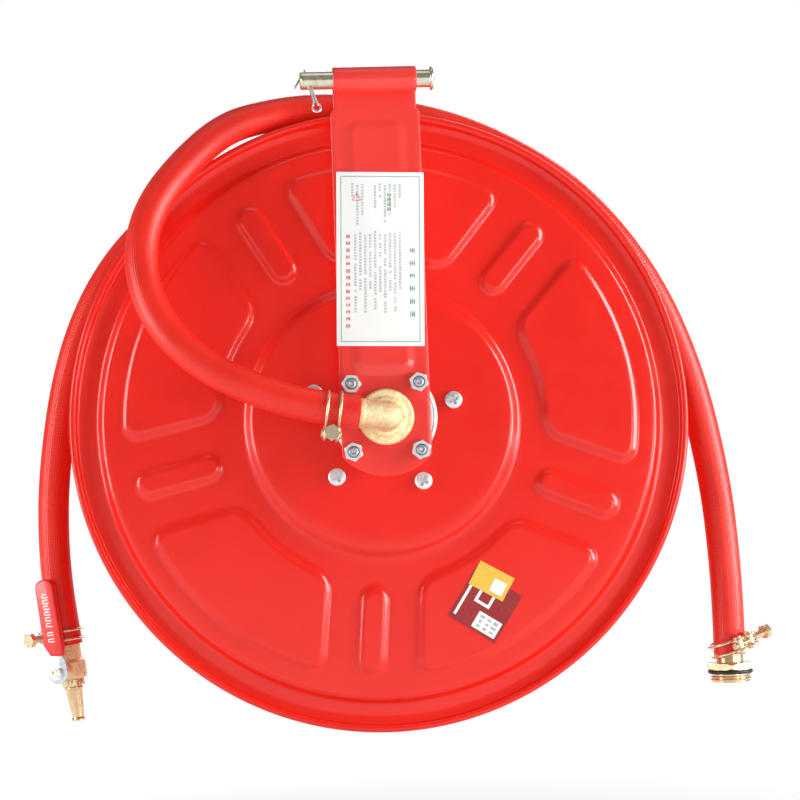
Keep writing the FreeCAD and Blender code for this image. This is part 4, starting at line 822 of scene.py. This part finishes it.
# --- label
def make_label():
    """A plain card with a thin border and rows of marks that stand for print."""
    turn = Matrix.Rotation(math.radians(1.8), 4, "Y")
    face = ARM_FRONT_FACE - 2.0 - 0.4
    at = Matrix.Translation((0, face, -141.0)) @ turn
    half, tall = 34.4, 68.5
    basis = at @ Matrix.Rotation(math.radians(90), 4, "X")
    outline = rounded_outline([(-half, -tall), (half, -tall), (half, tall), (-half, tall)], 0.6)
    plate(outline, -0.38, 0.0, basis, 0.12, "arm", "label_sheet", "label_card", segments=2,
          node="label_plate")
    print_height = 0.05

    def mark(shape, x0, x1, z0, z1):
        shape.box([at @ Vector((x, -y, z)) for y in (-0.02, print_height)
                   for x, z in ((x0, z0), (x1, z0), (x1, z1), (x0, z1))])

    border = Shape()
    inset, line = 3.2, 0.7
    x, z = half - inset, tall - inset
    for x0, x1, z0, z1 in ((-x, x, z - line, z), (-x, x, -z, -z + line), (-x, -x + line, -z + line, z - line),
                           (x - line, x, -z + line, z - line)):
        mark(border, x0, x1, z0, z1)
    border.piece("label_border", "arm", "label_ink", "label_card")
    print_rows, heading, warning = Shape(), Shape(), Shape()
    chance = random.Random(7)

    def row(shape, x, z, size, count, pitch):
        """A row of plain three-bar marks that runs down the label."""
        for place in range(count):
            if pitch < 3.0 and chance.random() < 0.1:
                continue
            low, high = z - place * pitch - size * chance.uniform(0.75, 1.0), z - place * pitch
            for bar in range(3):
                left = x + size * (bar / 3 - 0.5)
                mark(shape, left, left + size * chance.uniform(0.12, 0.24), low, high)
            middle = (low + high) / 2
            mark(shape, x - size / 2, x + size * 0.35, middle - size * 0.07, middle + size * 0.07)

    row(heading, 25.5, 8.8, 4.8, 6, 10.0)
    row(heading, 7.2, 52.0, 3.4, 4, 3.8)
    row(warning, -25.2, 19.0, 3.4, 14, 5.4)
    for column in range(10):
        x = 15.6 - 3.9 * column
        if column < 9:
            row(print_rows, x - 6.0 if column > 5 else x, 60.0 - chance.uniform(0, 2), 1.9,
                5 + 3 * ((column * 5) % 4), 2.3)
        row(print_rows, x, 22.0 - chance.uniform(0, 3), 1.9, 20 + (column * 7) % 14, 2.3)
    print_rows.piece("label_print", "arm", "grey_ink", "label_card")
    heading.piece("label_heading", "arm", "label_ink", "label_card")
    warning.piece("label_warning", "arm", "red_ink", "label_card")
    seal = Shape()
    corners = [at @ point for point in arc((-18.5, -print_height, 48.0), RIGHT, UP, 3.8, 90, 450, 3)]
    for corner in range(3):
        seal.rod(corners[corner:corner + 2], 0.26, 6)
    seal.piece("label_mark", "arm", "red_ink", "label_card")


make_label()


# --- fasteners
STUD_PLACES = [Vector((x, 0, AXIS_Z + z)) for x in (-26.5, 26.5) for z in (-26.5, 26.5)]
NUT_TURNS = (8, 25, 50, 12)


def make_lock_nuts():
    """Lock nuts: a chamfered hexagon, the nylon ring inside it and the stud's threaded end."""
    steel, rings, studs = Shape(), Shape(), Shape()
    for place, turn in zip(STUD_PLACES, NUT_TURNS):
        at = axis_frame(place + BACK * ARM_FRONT_FACE, FRONT)
        steel.chamfered_hexagon(13.2, 0.05, 6.6, at, hole=4.7, turn=math.radians(turn))
        rings.turned(rounded_profile([(3.95, 5.0), (4.72, 5.0), (4.72, 6.2), (3.95, 6.4)], 0.2), at, 40)
        studs.thread(at, 4.0, -13.0, 7.4, 1.25, 0.55)
        studs.turned([(0, 6.6), (3.5, 6.6), (3.4, 7.5), (2.7, 7.9), (1.5, 7.9), (0.9, 7.2), (0, 7.1)], at, 32)
    steel.piece("lock_nuts", "arm", "zinc_steel", sharp=28, node="arm_nuts")
    rings.piece("lock_nut_rings", "arm", "nylon_ring", "bush_plastic")
    studs.piece("stud_threads", "arm", "stud_zinc", "zinc_steel", sharp=50, node="arm_studs")


make_lock_nuts()


def make_flange():
    """The spindle's turned flange: a flat face, a fine groove and a wide bright chamfer."""
    back = ARM_FRONT_FACE + ARM_SHEET
    profile = [(radius, back + depth) for radius, depth in (
        (15.05, 0.02), (36.9, 0.02), (37.3, 0.9), (38.0, 0.9), (38.3, 0.3), (38.8, 0.25), (40.9, 2.6),
        (41.0, 3.2), (41.0, 6.0), (38.6, 8.0), (15.05, 8.0))]
    shape = Shape().turned(rounded_profile(profile, 0.15), axis_frame(DRUM_AXIS_AT, BACK), 144)
    shape.piece("spindle_flange_turned", "arm", "bare_steel", sharp=30, node="spindle_flange")


make_flange()


def cross_recess_head(heads, cutters, place, turn):
    """Adds a domed screw head, and the crossed slot to cut from it."""
    at = axis_frame(place, FRONT)
    dome = [(0, 0.0), (6.6, 0.0), (7.0, 0.5), (7.0, 3.0), (6.8, 3.6), (6.2, 4.1), (4.0, 4.4), (2.0, 4.5),
            (0, 4.5)]
    heads.turned(rounded_profile(dome, 0.3), at, 48)
    for quarter in (0, 90):
        way = at @ Matrix.Rotation(math.radians(turn + quarter), 4, "Z")
        cutters.box([way @ Vector((x, y, z)) for z, half in ((1.0, 2.6), (6.0, 5.2)) for x, y in
                     ((-half, -1.15), (half, -1.15), (half, 1.15), (-half, 1.15))])


def changed_mesh(name, shape, *changes):
    """The mesh of a shape after modifiers, each given as its kind and its settings."""
    item = add_object(name, shape.mesh(name))
    for kind, settings in changes:
        modifier = item.modifiers.new(kind, kind)
        for key, value in settings.items():
            setattr(modifier, key, value)
    graph = bpy.context.evaluated_depsgraph_get()
    mesh = bpy.data.meshes.new_from_object(item.evaluated_get(graph))
    bpy.data.objects.remove(item)
    return mesh


def cut_mesh(shape, cutters):
    """One shape with another taken out of it."""
    cutter = add_object("cutter", cutters.mesh("cutter"))
    cut = {"object": cutter, "operation": "DIFFERENCE", "solver": "EXACT", "use_self": True}
    mesh = changed_mesh("cut", shape, ("BOOLEAN", cut))
    bpy.data.objects.remove(cutter)
    return mesh


def make_tie_bolts():
    """Five long screws: crossed heads on the hub's face, shanks through the drum, threaded ends behind."""
    heads, cutters, shanks, nuts = Shape(), Shape(), Shape(), Shape()
    rear_face = MIRROR_DEPTH - HUB_FACE
    grip = rear_face - HUB_FACE
    for number in range(5):
        place = polar(59.0, DRUM_PHASE + 72 * number, HUB_FACE)
        cross_recess_head(heads, cutters, place, 20 + 33 * number)
        shanks.rod([place + BACK * 0.5, place + BACK * (grip - 6)], 3.9, 20, taper_ends=False)
        shanks.thread(axis_frame(place, BACK), 4.0, grip - 8, grip + 9.8, 1.25, 0.55)
        at = axis_frame(place + BACK * grip, BACK)
        nuts.chamfered_hexagon(13.0, 0.0, 6.9, at, hole=4.05, turn=math.radians(17 * number))
    mesh = cut_mesh(heads, cutters)
    finish_piece("tie_screw_heads", mesh, "drum", "zinc_steel", sharp=32, node="tie_bolts")
    shanks.piece("tie_screw_shanks", "drum", "zinc_steel", sharp=50, node="tie_bolts")
    nuts.piece("tie_nut_hexagons", "drum", "zinc_steel", sharp=28, node="tie_nuts")


make_tie_bolts()


# --- hinge pin and eye
def make_hinge_pin():
    """A plated pin with a domed head on the right and the split pin through its left end."""
    at = axis_frame((0, 0, 0), RIGHT)
    profile = [(0, -58.5), (5.9, -58.5), (7.0, -57.4), (7.0, 43.6), (9.0, 43.6), (9.4, 44.1), (9.4, 45.0),
               (8.2, 46.4), (6.0, 47.2), (3.0, 47.5), (0, 47.5)]
    pin = Shape().turned(rounded_profile(profile, 0.35), at, 64)
    way = Vector((0.15, -0.6, -0.79)).normalized()
    hole_at = Vector((-51.5, 0, 0))
    for side in (-1, 1):
        lip_at = hole_at + way * side * 6.55
        pin.turned([(2.3, -0.25), (2.9, -0.1), (2.9, 0.1), (2.3, 0.25)], axis_frame(lip_at, way * side), 28)
    pin.piece("hinge_pin_plated", "root", "pin_zinc", "zinc_steel", sharp=35, node="hinge_pin")
    side = way.cross(BACK).normalized()
    loop = []
    for i in range(15):
        turn = math.radians(-150 + 300 * i / 14)
        loop.append(hole_at + way * (32.0 + 4.4 * math.cos(turn)) + side * 3.4 * math.sin(turn))
    first = [hole_at + way * reach + side * 0.9 for reach in (-11.0, -4.0, 8.0, 16.0, 23.0)]
    last = [hole_at + way * reach - side * 0.9 for reach in (23.0, 16.0, 8.0, -4.0, -12.5)]
    bent = [Vector((-62.3, 6.5, -4.5)), Vector((-60.0, 7.9, 0.0)), Vector((-56.0, 8.7, 6.2))]
    route = bent + first + loop[::-1] + last
    wire = Shape().rod([point / MM for point in route_points(route, 6)], 0.85, 12)
    wire.piece("split_pin_wire", "root", "wire_zinc", sharp=60, node="split_pin")


make_hinge_pin()


# --- cast brass pieces
def cast_mesh(shape, voxel, smoothing):
    """Melts overlapping solids into one skin with soft inner corners, as casting does."""
    return changed_mesh("cast", shape, ("REMESH", {"mode": "VOXEL", "voxel_size": voxel * MM}),
                        ("SMOOTH", {"iterations": smoothing, "factor": 0.5}))


def make_elbow():
    """The inlet elbow: round base, domed knee and an outlet that rises a little to the left."""
    at = axis_frame(DRUM_AXIS_AT, FRONT)
    base = ARM_FRONT_FACE
    shape = Shape()
    shape.turned([(0, -base + 0.05), (22.0, -base + 0.05), (22.0, -base + 4.2), (20.6, -base + 5.6),
                  (16.5, -base + 5.6), (14.5, -base + 7.6), (0, -base + 7.6)], at, 96)
    knee = elbow_point(0)
    shape.turned([(0, -base), (11.8, -base), (11.8, 6.0), (11.6, 13.0), (10.9, 16.6), (9.0, 20.0),
                  (6.0, 22.6), (3.0, 23.7), (0, 24.0)], at, 64)
    along = (elbow_point(10) - knee).normalized()
    outlet = axis_frame(knee, along)
    shape.turned([(0, 0), (11.0, 0), (11.0, 17.6), (11.6, 18.6), (11.6, 21.6), (11.2, 22.1), (9.2, 22.1),
                  (9.2, 40.0), (0, 40.0)], outlet, 64)
    parting = [knee + RIGHT * 9.5 + FRONT * 2.0, DRUM_AXIS_AT + RIGHT * 15.5 + BACK * (base - 6.2),
               DRUM_AXIS_AT + RIGHT * 20.8 + BACK * (base - 5.4)]
    shape.rod(parting, 0.7, 8)
    mesh = cast_mesh(shape, 0.55, 3)
    finish_piece("inlet_elbow_casting", mesh, "arm", "cast_brass", sharp=60, node="inlet_elbow")
    sleeve = [(8.0, -21.8), (12.0, -21.8), (12.0, -base), (8.0, -base)]
    Shape().turned(rounded_profile(sleeve, 0.3), at, 64).piece("elbow_spigot", "arm", "turned_brass")


make_elbow()


# --- hose clamps
def make_clamp(name, centre, along, outward, ring_radius, bolt_sign, spread, tip):
    """Two wires round the hose, hooked round two barrels, and the bolt that draws the barrels together."""
    along = Vector(along).normalized()
    outward = Vector(outward)
    outward = (outward - along * outward.dot(along)).normalized()
    bolt_way = outward.cross(along) * bolt_sign
    wire_radius, barrel_radius, half_gap = 1.15, 4.1, 6.0
    ears = Vector(centre) + outward * (ring_radius + barrel_radius)
    wires, barrels = Shape(), Shape()
    open_half = math.degrees(math.asin(min(half_gap / ring_radius, 0.95)))
    for side in (-1, 1):
        offset = along * side * spread
        path = arc(Vector(centre) + offset, outward, bolt_way, ring_radius, open_half + 4, 356 - open_half,
                   56)
        for end, sign in ((0, 1), (-1, -1)):
            ear = ears + bolt_way * sign * half_gap + offset
            hook = arc(ear, -outward, bolt_way * sign, barrel_radius + wire_radius * 0.6, 25, 250, 16)
            path = hook[::-1] + path if end == 0 else path + hook
        wires.rod(path, wire_radius, 12)
    for sign in (-1, 1):
        ear = ears + bolt_way * sign * half_gap
        at = axis_frame(ear - along * (spread + 2.6), along)
        length = 2 * spread + 5.2
        barrels.turned(rounded_profile([(0, 0), (barrel_radius - 0.5, 0), (barrel_radius - 0.5, length),
                                        (0, length)], 0.5), at, 32)
    wires.piece(f"{name}_wires", "arm", "yellow_zinc", sharp=60, node=f"{name}_clamp")
    barrels.piece(f"{name}_barrels", "arm", "yellow_zinc", node=f"{name}_clamp")
    bolt_start = ears - bolt_way * tip
    at = axis_frame(bolt_start, bolt_way, up=along)
    bolt = Shape().thread(at, 3.0, 0.0, 33.9, 1.0, 0.4)
    bolt.turned(rounded_profile([(0, 33.2), (4.6, 33.2), (4.6, 34.2), (0, 34.2)], 0.2), at, 32)
    bolt.chamfered_hexagon(11.0, 34.0, 38.4, at)
    bolt.piece(f"{name}_bolt", "arm", "yellow_zinc", sharp=30, node=f"{name}_clamp_bolt")


RING = HOSE_RADIUS + 1.3


def make_clamps():
    make_clamp("inlet", elbow_point(42), elbow_point(0) - elbow_point(1), DOWN, RING, 1, 5.0, 12.0)
    end = Vector(INLET_ROUTE[-1])
    tilt = math.radians(20)
    slanted = Vector((-math.sin(tilt), 0, math.cos(tilt)))
    make_clamp("coupling", end + UP * 7, slanted, Vector((0.5, -0.87, 0)), 16.2, -1, 4.4, 12.0)
    make_clamp("tail", Vector(TAIL_ROUTE[-1]) + VALVE.to_3x3() @ Vector((0, 0, 8.5)), VALVE.to_3x3() @ UP,
               Vector((-0.75, 0.66, 0)), RING, -1, 3.75, 12.0)


# --- valve and nozzle
VALVE = (Matrix.Translation(TAIL_ROUTE[-1]) @ Matrix.Rotation(math.radians(-7.0), 4, "Y")
         @ Matrix.Rotation(math.radians(-26.0), 4, "Z"))
VALVE_DROP = 21.0
STEM = VALVE @ Matrix.Translation((0, 0, -VALVE_DROP)) @ Matrix.Rotation(math.pi / 2, 4, "X")
LEVER_OFFSET, LEVER_SHEET = 20.0, 2.5

make_clamps()


def make_valve():
    """Cast valve body with its stem boss, the packing nut and the turned nozzle."""
    down = VALVE @ Matrix.Rotation(math.pi, 4, "X")
    barrel = [(0, -14.0), (9.2, -14.0), (9.2, -0.1), (10.5, -0.1), (10.5, 12.4), (11.2, 13.2), (13.0, 14.6),
              (13.0, 26.6), (12.6, 28.2), (11.4, 29.1), (0, 29.1)]
    body = Shape().turned(barrel, down, 72)
    body.turned([(0, 0), (8.0, 0), (8.0, 14.6), (7.4, 15.4), (0, 15.4)], STEM, 48)
    mesh = cast_mesh(body, 0.5, 2)
    finish_piece("valve_casting", mesh, "arm", "cast_brass", sharp=60, node="valve_body")
    gland = Shape().chamfered_hexagon(12.0, 15.5, 18.7, STEM, hole=3.6, turn=math.radians(20))
    gland.piece("packing_nut", "arm", "turned_brass", sharp=28, node="gland_nut")
    top = VALVE_DROP + 8.2
    profile = [(3.0, top + 0.1), (7.2, top + 0.1), (7.2, top + 6.4), (7.9, top + 6.8), (7.9, top + 8.2),
               (7.1, top + 8.8), (6.0, top + 22.0), (4.9, top + 32.0), (5.0, top + 32.8), (5.6, top + 34.0),
               (5.6, top + 35.3), (5.2, top + 35.5), (3.2, top + 35.5), (3.0, top + 34.6)]
    nozzle = Shape().turned(rounded_profile(profile, 0.3), down, 64)
    nozzle.chamfered_hexagon(17.0, top + 0.1, top + 5.9, down, hole=6.9, turn=math.radians(12))
    nozzle.piece("nozzle_turned", "arm", "turned_brass", sharp=35, node="nozzle")


def make_lever():
    """Pressed lever with its dipped red grip, held on the stem by a nut."""
    wide, narrow, top = 9.5, 6.9, 79.0
    top_face = LEVER_OFFSET + LEVER_SHEET
    turns = [math.radians(angle) for angle in range(180, 361, 9)]
    round_end = [(wide * math.cos(turn), wide * math.sin(turn)) for turn in turns]
    blade = round_end + [(wide, 9.0), (narrow, 14.0), (narrow, top - 8.0), (narrow - 4.0, top - 2.4),
                         (-narrow + 4.0, top - 2.4), (-narrow, top - 8.0), (-narrow, 14.0), (-wide, 9.0)]
    plate(blade, LEVER_OFFSET, top_face, STEM, 0.45, "lever", "lever_blade", "lever_zinc", "zinc_steel",
          node="valve_lever")
    half, low = 9.0, 13.0
    corners = [(-half + 5.0, low + 1.5), (half - 0.5, low), (half, low + 6.0), (half, top), (-half, top),
               (-half, low + 11.0)]
    outline = rounded_outline(corners, [1.0, 1.5, 4.0, 7.5, 7.5, 4.0])
    wall = 1.8
    plate(outline, LEVER_OFFSET - wall, top_face + wall, STEM, 1.9, "lever", "grip_sleeve", "grip_vinyl",
          segments=5, node="lever_grip")
    marks, face = Shape(), top_face + 1.75
    row = [(39.0 + 4.9 * i, 3.6, 1.2) for i in range(6)]
    for low, size, gap in [(26.0, 3.2, 0.0), (31.5, 3.2, 0.0)] + row:
        for x0, x1, y0, y1 in ((-3.0, 3.0, 0.0, 0.9), (-3.0, 3.0 - gap, size - 0.9, size),
                               (-3.0, -2.1, 0.0, size)):
            marks.box([STEM @ Vector((x, low + y, z)) for z in (face, face + 0.12)
                       for x, y in ((x0, y0), (x1, y0), (x1, y1), (x0, y1))])
    marks.piece("grip_marks", "lever", "label_card")
    nut = Shape().chamfered_hexagon(9.0, top_face + 0.5, top_face + 3.4, STEM, hole=3.4,
                                    turn=math.radians(20))
    washer = [(3.5, top_face), (5.9, top_face), (5.9, top_face + 0.6), (3.5, top_face + 0.6)]
    nut.turned(washer, STEM, 40)
    nut.piece("stem_nut", "lever", "zinc_steel", sharp=28, node="lever_nut")
    shank = Shape().thread(STEM, 3.4, 8.5, 26.2, 1.0, 0.4)
    shank.piece("valve_stem_thread", "lever", "turned_brass", sharp=50, node="valve_stem")


make_valve()
make_lever()


# --- hose coupling
def make_coupling():
    """The brass inlet coupling: hose tail, neck, hexagon, groove for the rubber ring, pipe thread."""
    at = axis_frame(INLET_ROUTE[-1], DOWN)
    neck = [(7.5, -20.0), (9.3, -20.0), (9.3, -0.1), (11.0, -0.1), (11.0, 6.6), (11.8, 7.3), (15.2, 7.5),
            (15.2, 16.2), (9.2, 16.2), (9.0, 10.0), (7.5, 2.0)]
    body = Shape().turned(rounded_profile(neck, 0.35), at, 72)
    body.chamfered_hexagon(36.0, 7.3, 12.5, at, hole=12.0, turn=math.radians(8))
    body.thread(at, 16.6, 15.8, 22.5, 2.3, 1.1, segments=72, steps=10)
    lip = [(9.0, 15.6), (15.8, 15.6), (15.8, 16.5), (15.4, 22.2), (15.4, 22.6), (9.6, 22.6), (9.0, 22.0)]
    body.turned(rounded_profile(lip, 0.2), at, 72)
    body.piece("coupling_turned", "arm", "turned_brass", sharp=32, node="inlet_coupling")
    turns = [math.radians(angle) for angle in range(0, 360, 20)]
    ring = [(16.7 + 1.7 * math.cos(turn), 14.3 + 1.7 * math.sin(turn)) for turn in turns]
    Shape().turned(ring, at, 72).piece("coupling_ring", "arm", "seal_rubber", sharp=60, node="coupling_seal")


make_coupling()
make_hoses()


# --- plain stickers on the disc
def sheet_depth(x, z):
    """Depth of the front disc's face at a place in the frame."""
    radius = math.hypot(x, z - AXIS_Z)
    angle = math.degrees(math.atan2(z - AXIS_Z, x))
    return disc_depth(radius) - PRESS_HEIGHT * press_amount(radius, angle)


def make_patch(name, material, centre, turn, middle, wide, tall, lift, cells=18):
    """A thin card that follows the disc; middle is its place on the sticker that it belongs to."""
    spin = Matrix.Rotation(math.radians(turn), 2)
    tops, feet = [], []
    for row in range(cells + 1):
        for column in range(cells + 1):
            across, up = wide * (column / cells - 0.5), tall * (row / cells - 0.5)
            local = Vector((middle[0] + across, middle[1] + up))
            x, z = spin @ local + Vector(centre)
            depth = sheet_depth(x, z)
            tops.append(Vector((x, depth - lift - 0.12, z)))
            feet.append(Vector((x, depth - lift + 0.05, z)))
    count = cells + 1
    faces = []
    for row in range(cells):
        for column in range(cells):
            corner = row * count + column
            quad = [corner, corner + 1, corner + count + 1, corner + count]
            faces.append(quad)
            faces.append([count * count + i for i in quad[::-1]])
    for i in range(cells):
        for a, b in ((i, i + 1), (cells + i * count, cells + (i + 1) * count),
                     (count * cells + i + 1, count * cells + i), ((i + 1) * count, i * count)):
            faces.append([b, a, count * count + a, count * count + b])
    return Shape().add(tops + feet, faces).piece(name, "drum", material, "label_card")


def make_stickers():
    """Plain cards in the place of the inspection stickers, with plain blocks for their print."""
    square, card = ((77.0, -417.0), -33.0), ((83.0, -397.5), -30.0)
    for name, material, (centre, turn), *facts in (
            ("square", "sticker_maroon", square, (0.0, 0.0), 44.0, 44.0, 0.05),
            ("panel", "label_card", square, (9.0, -12.5), 21.0, 14.0, 0.22, 8),
            ("stripe", "label_card", square, (-18.0, -2.0), 2.2, 32.0, 0.22, 8),
            ("disc", "label_card", square, (-3.0, 6.0), 14.0, 14.0, 0.22, 8),
            ("disc_middle", "sticker_maroon", square, (-3.0, 6.0), 9.0, 9.0, 0.40, 8),
            ("card", "sticker_yellow", card, (0.0, 0.0), 31.0, 21.0, 0.45),
            ("card_panel", "label_card", card, (7.0, -2.0), 11.0, 11.0, 0.62, 8)):
        make_patch(f"sticker_{name}", material, centre, turn, *facts)
    chance = random.Random(3)
    for number in range(9):
        place = (9.0 + 6.0 * (number % 3 - 1), -12.5 + 4.0 * (number // 3 - 1))
        make_patch(f"sticker_mark_{number}", "grey_ink", *square, place, chance.uniform(2.0, 4.6),
                   chance.uniform(1.4, 2.8), 0.40, 3)


make_stickers()


# --- studio
def make_floor():
    """A pale floor that turns into plain white away from the reel."""
    n = Nodes("studio_floor")
    split = n.make("ShaderNodeVectorMath", operation="LENGTH")
    n.link(n.place.outputs["Object"], split.inputs[0])
    white = n.spread(split.outputs["Value"], 0.0, 1.0, 0.05, 0.5)
    colour = n.ramp(n.noise(3.0), [(0.3, (0.90, 0.90, 0.90)), (0.7, (0.93, 0.93, 0.93))])
    n.link(colour, n.shader.inputs["Base Color"])
    n.set(Roughness=0.6)
    glow = n.make("ShaderNodeEmission")
    glow.inputs["Strength"].default_value = 1.0
    fade = n.make("ShaderNodeMixShader")
    n.link(white, fade.inputs[0])
    n.link(n.shader.outputs["BSDF"], fade.inputs[1])
    n.link(glow.outputs["Emission"], fade.inputs[2])
    n.link(fade.outputs["Shader"], n.tree.nodes["Material Output"].inputs["Surface"])
    mesh = bpy.data.meshes.new("floor")
    count, radius = 96, 9.0
    ring = [(radius * math.cos(2 * math.pi * i / count), radius * math.sin(2 * math.pi * i / count), 0.0)
            for i in range(count)]
    mesh.from_pydata(ring, [], [list(range(count))])
    floor = add_object("floor", mesh)
    floor.location = (0, 0.1, -0.62)
    floor.data.materials.append(n.material)


def make_world():
    """A soft grey surround for light and reflections, seen as plain white."""
    world = bpy.data.worlds.new("studio")
    world.use_nodes = True
    tree = world.node_tree
    soft, seen = tree.nodes["Background"], tree.nodes.new("ShaderNodeBackground")
    for background, colour, strength in ((soft, (0.98, 0.99, 1.0, 1), 0.21), (seen, (1, 1, 1, 1), 1.0)):
        background.inputs["Color"].default_value = colour
        background.inputs["Strength"].default_value = strength
    path = tree.nodes.new("ShaderNodeLightPath")
    mix = tree.nodes.new("ShaderNodeMixShader")
    tree.links.new(path.outputs["Is Camera Ray"], mix.inputs[0])
    tree.links.new(soft.outputs["Background"], mix.inputs[1])
    tree.links.new(seen.outputs["Background"], mix.inputs[2])
    tree.links.new(mix.outputs["Shader"], tree.nodes["World Output"].inputs["Surface"])
    bpy.context.scene.world = world


def add_light(name, place, target, width, height, watts):
    data = bpy.data.lights.new(name, "AREA")
    data.shape = "RECTANGLE"
    data.size, data.size_y = width, height
    data.energy = watts
    light = add_object(name, data)
    light.location = place
    light.rotation_mode = "QUATERNION"
    light.rotation_quaternion = (Vector(target) - Vector(place)).to_track_quat("-Z", "Y")


def make_studio():
    make_floor()
    make_world()
    middle = (0.0, 0.08, -0.26)
    add_light("right_box", (1.05, -1.30, -0.52), middle, 0.5, 0.6, 7)
    add_light("right_side", (1.70, -0.46, -0.10), middle, 0.6, 1.7, 42)
    add_light("left_side", (-1.70, -0.46, -0.20), middle, 0.5, 1.4, 20)
    add_light("top_box", (0.0, -0.3, 1.6), middle, 1.4, 1.0, 3)
    add_light("rear_box", (0.6, 2.0, 0.6), middle, 1.4, 1.4, 16)
    bpy.context.scene.view_settings.view_transform = "Standard"
    bpy.context.scene.view_settings.look = "None"


make_studio()
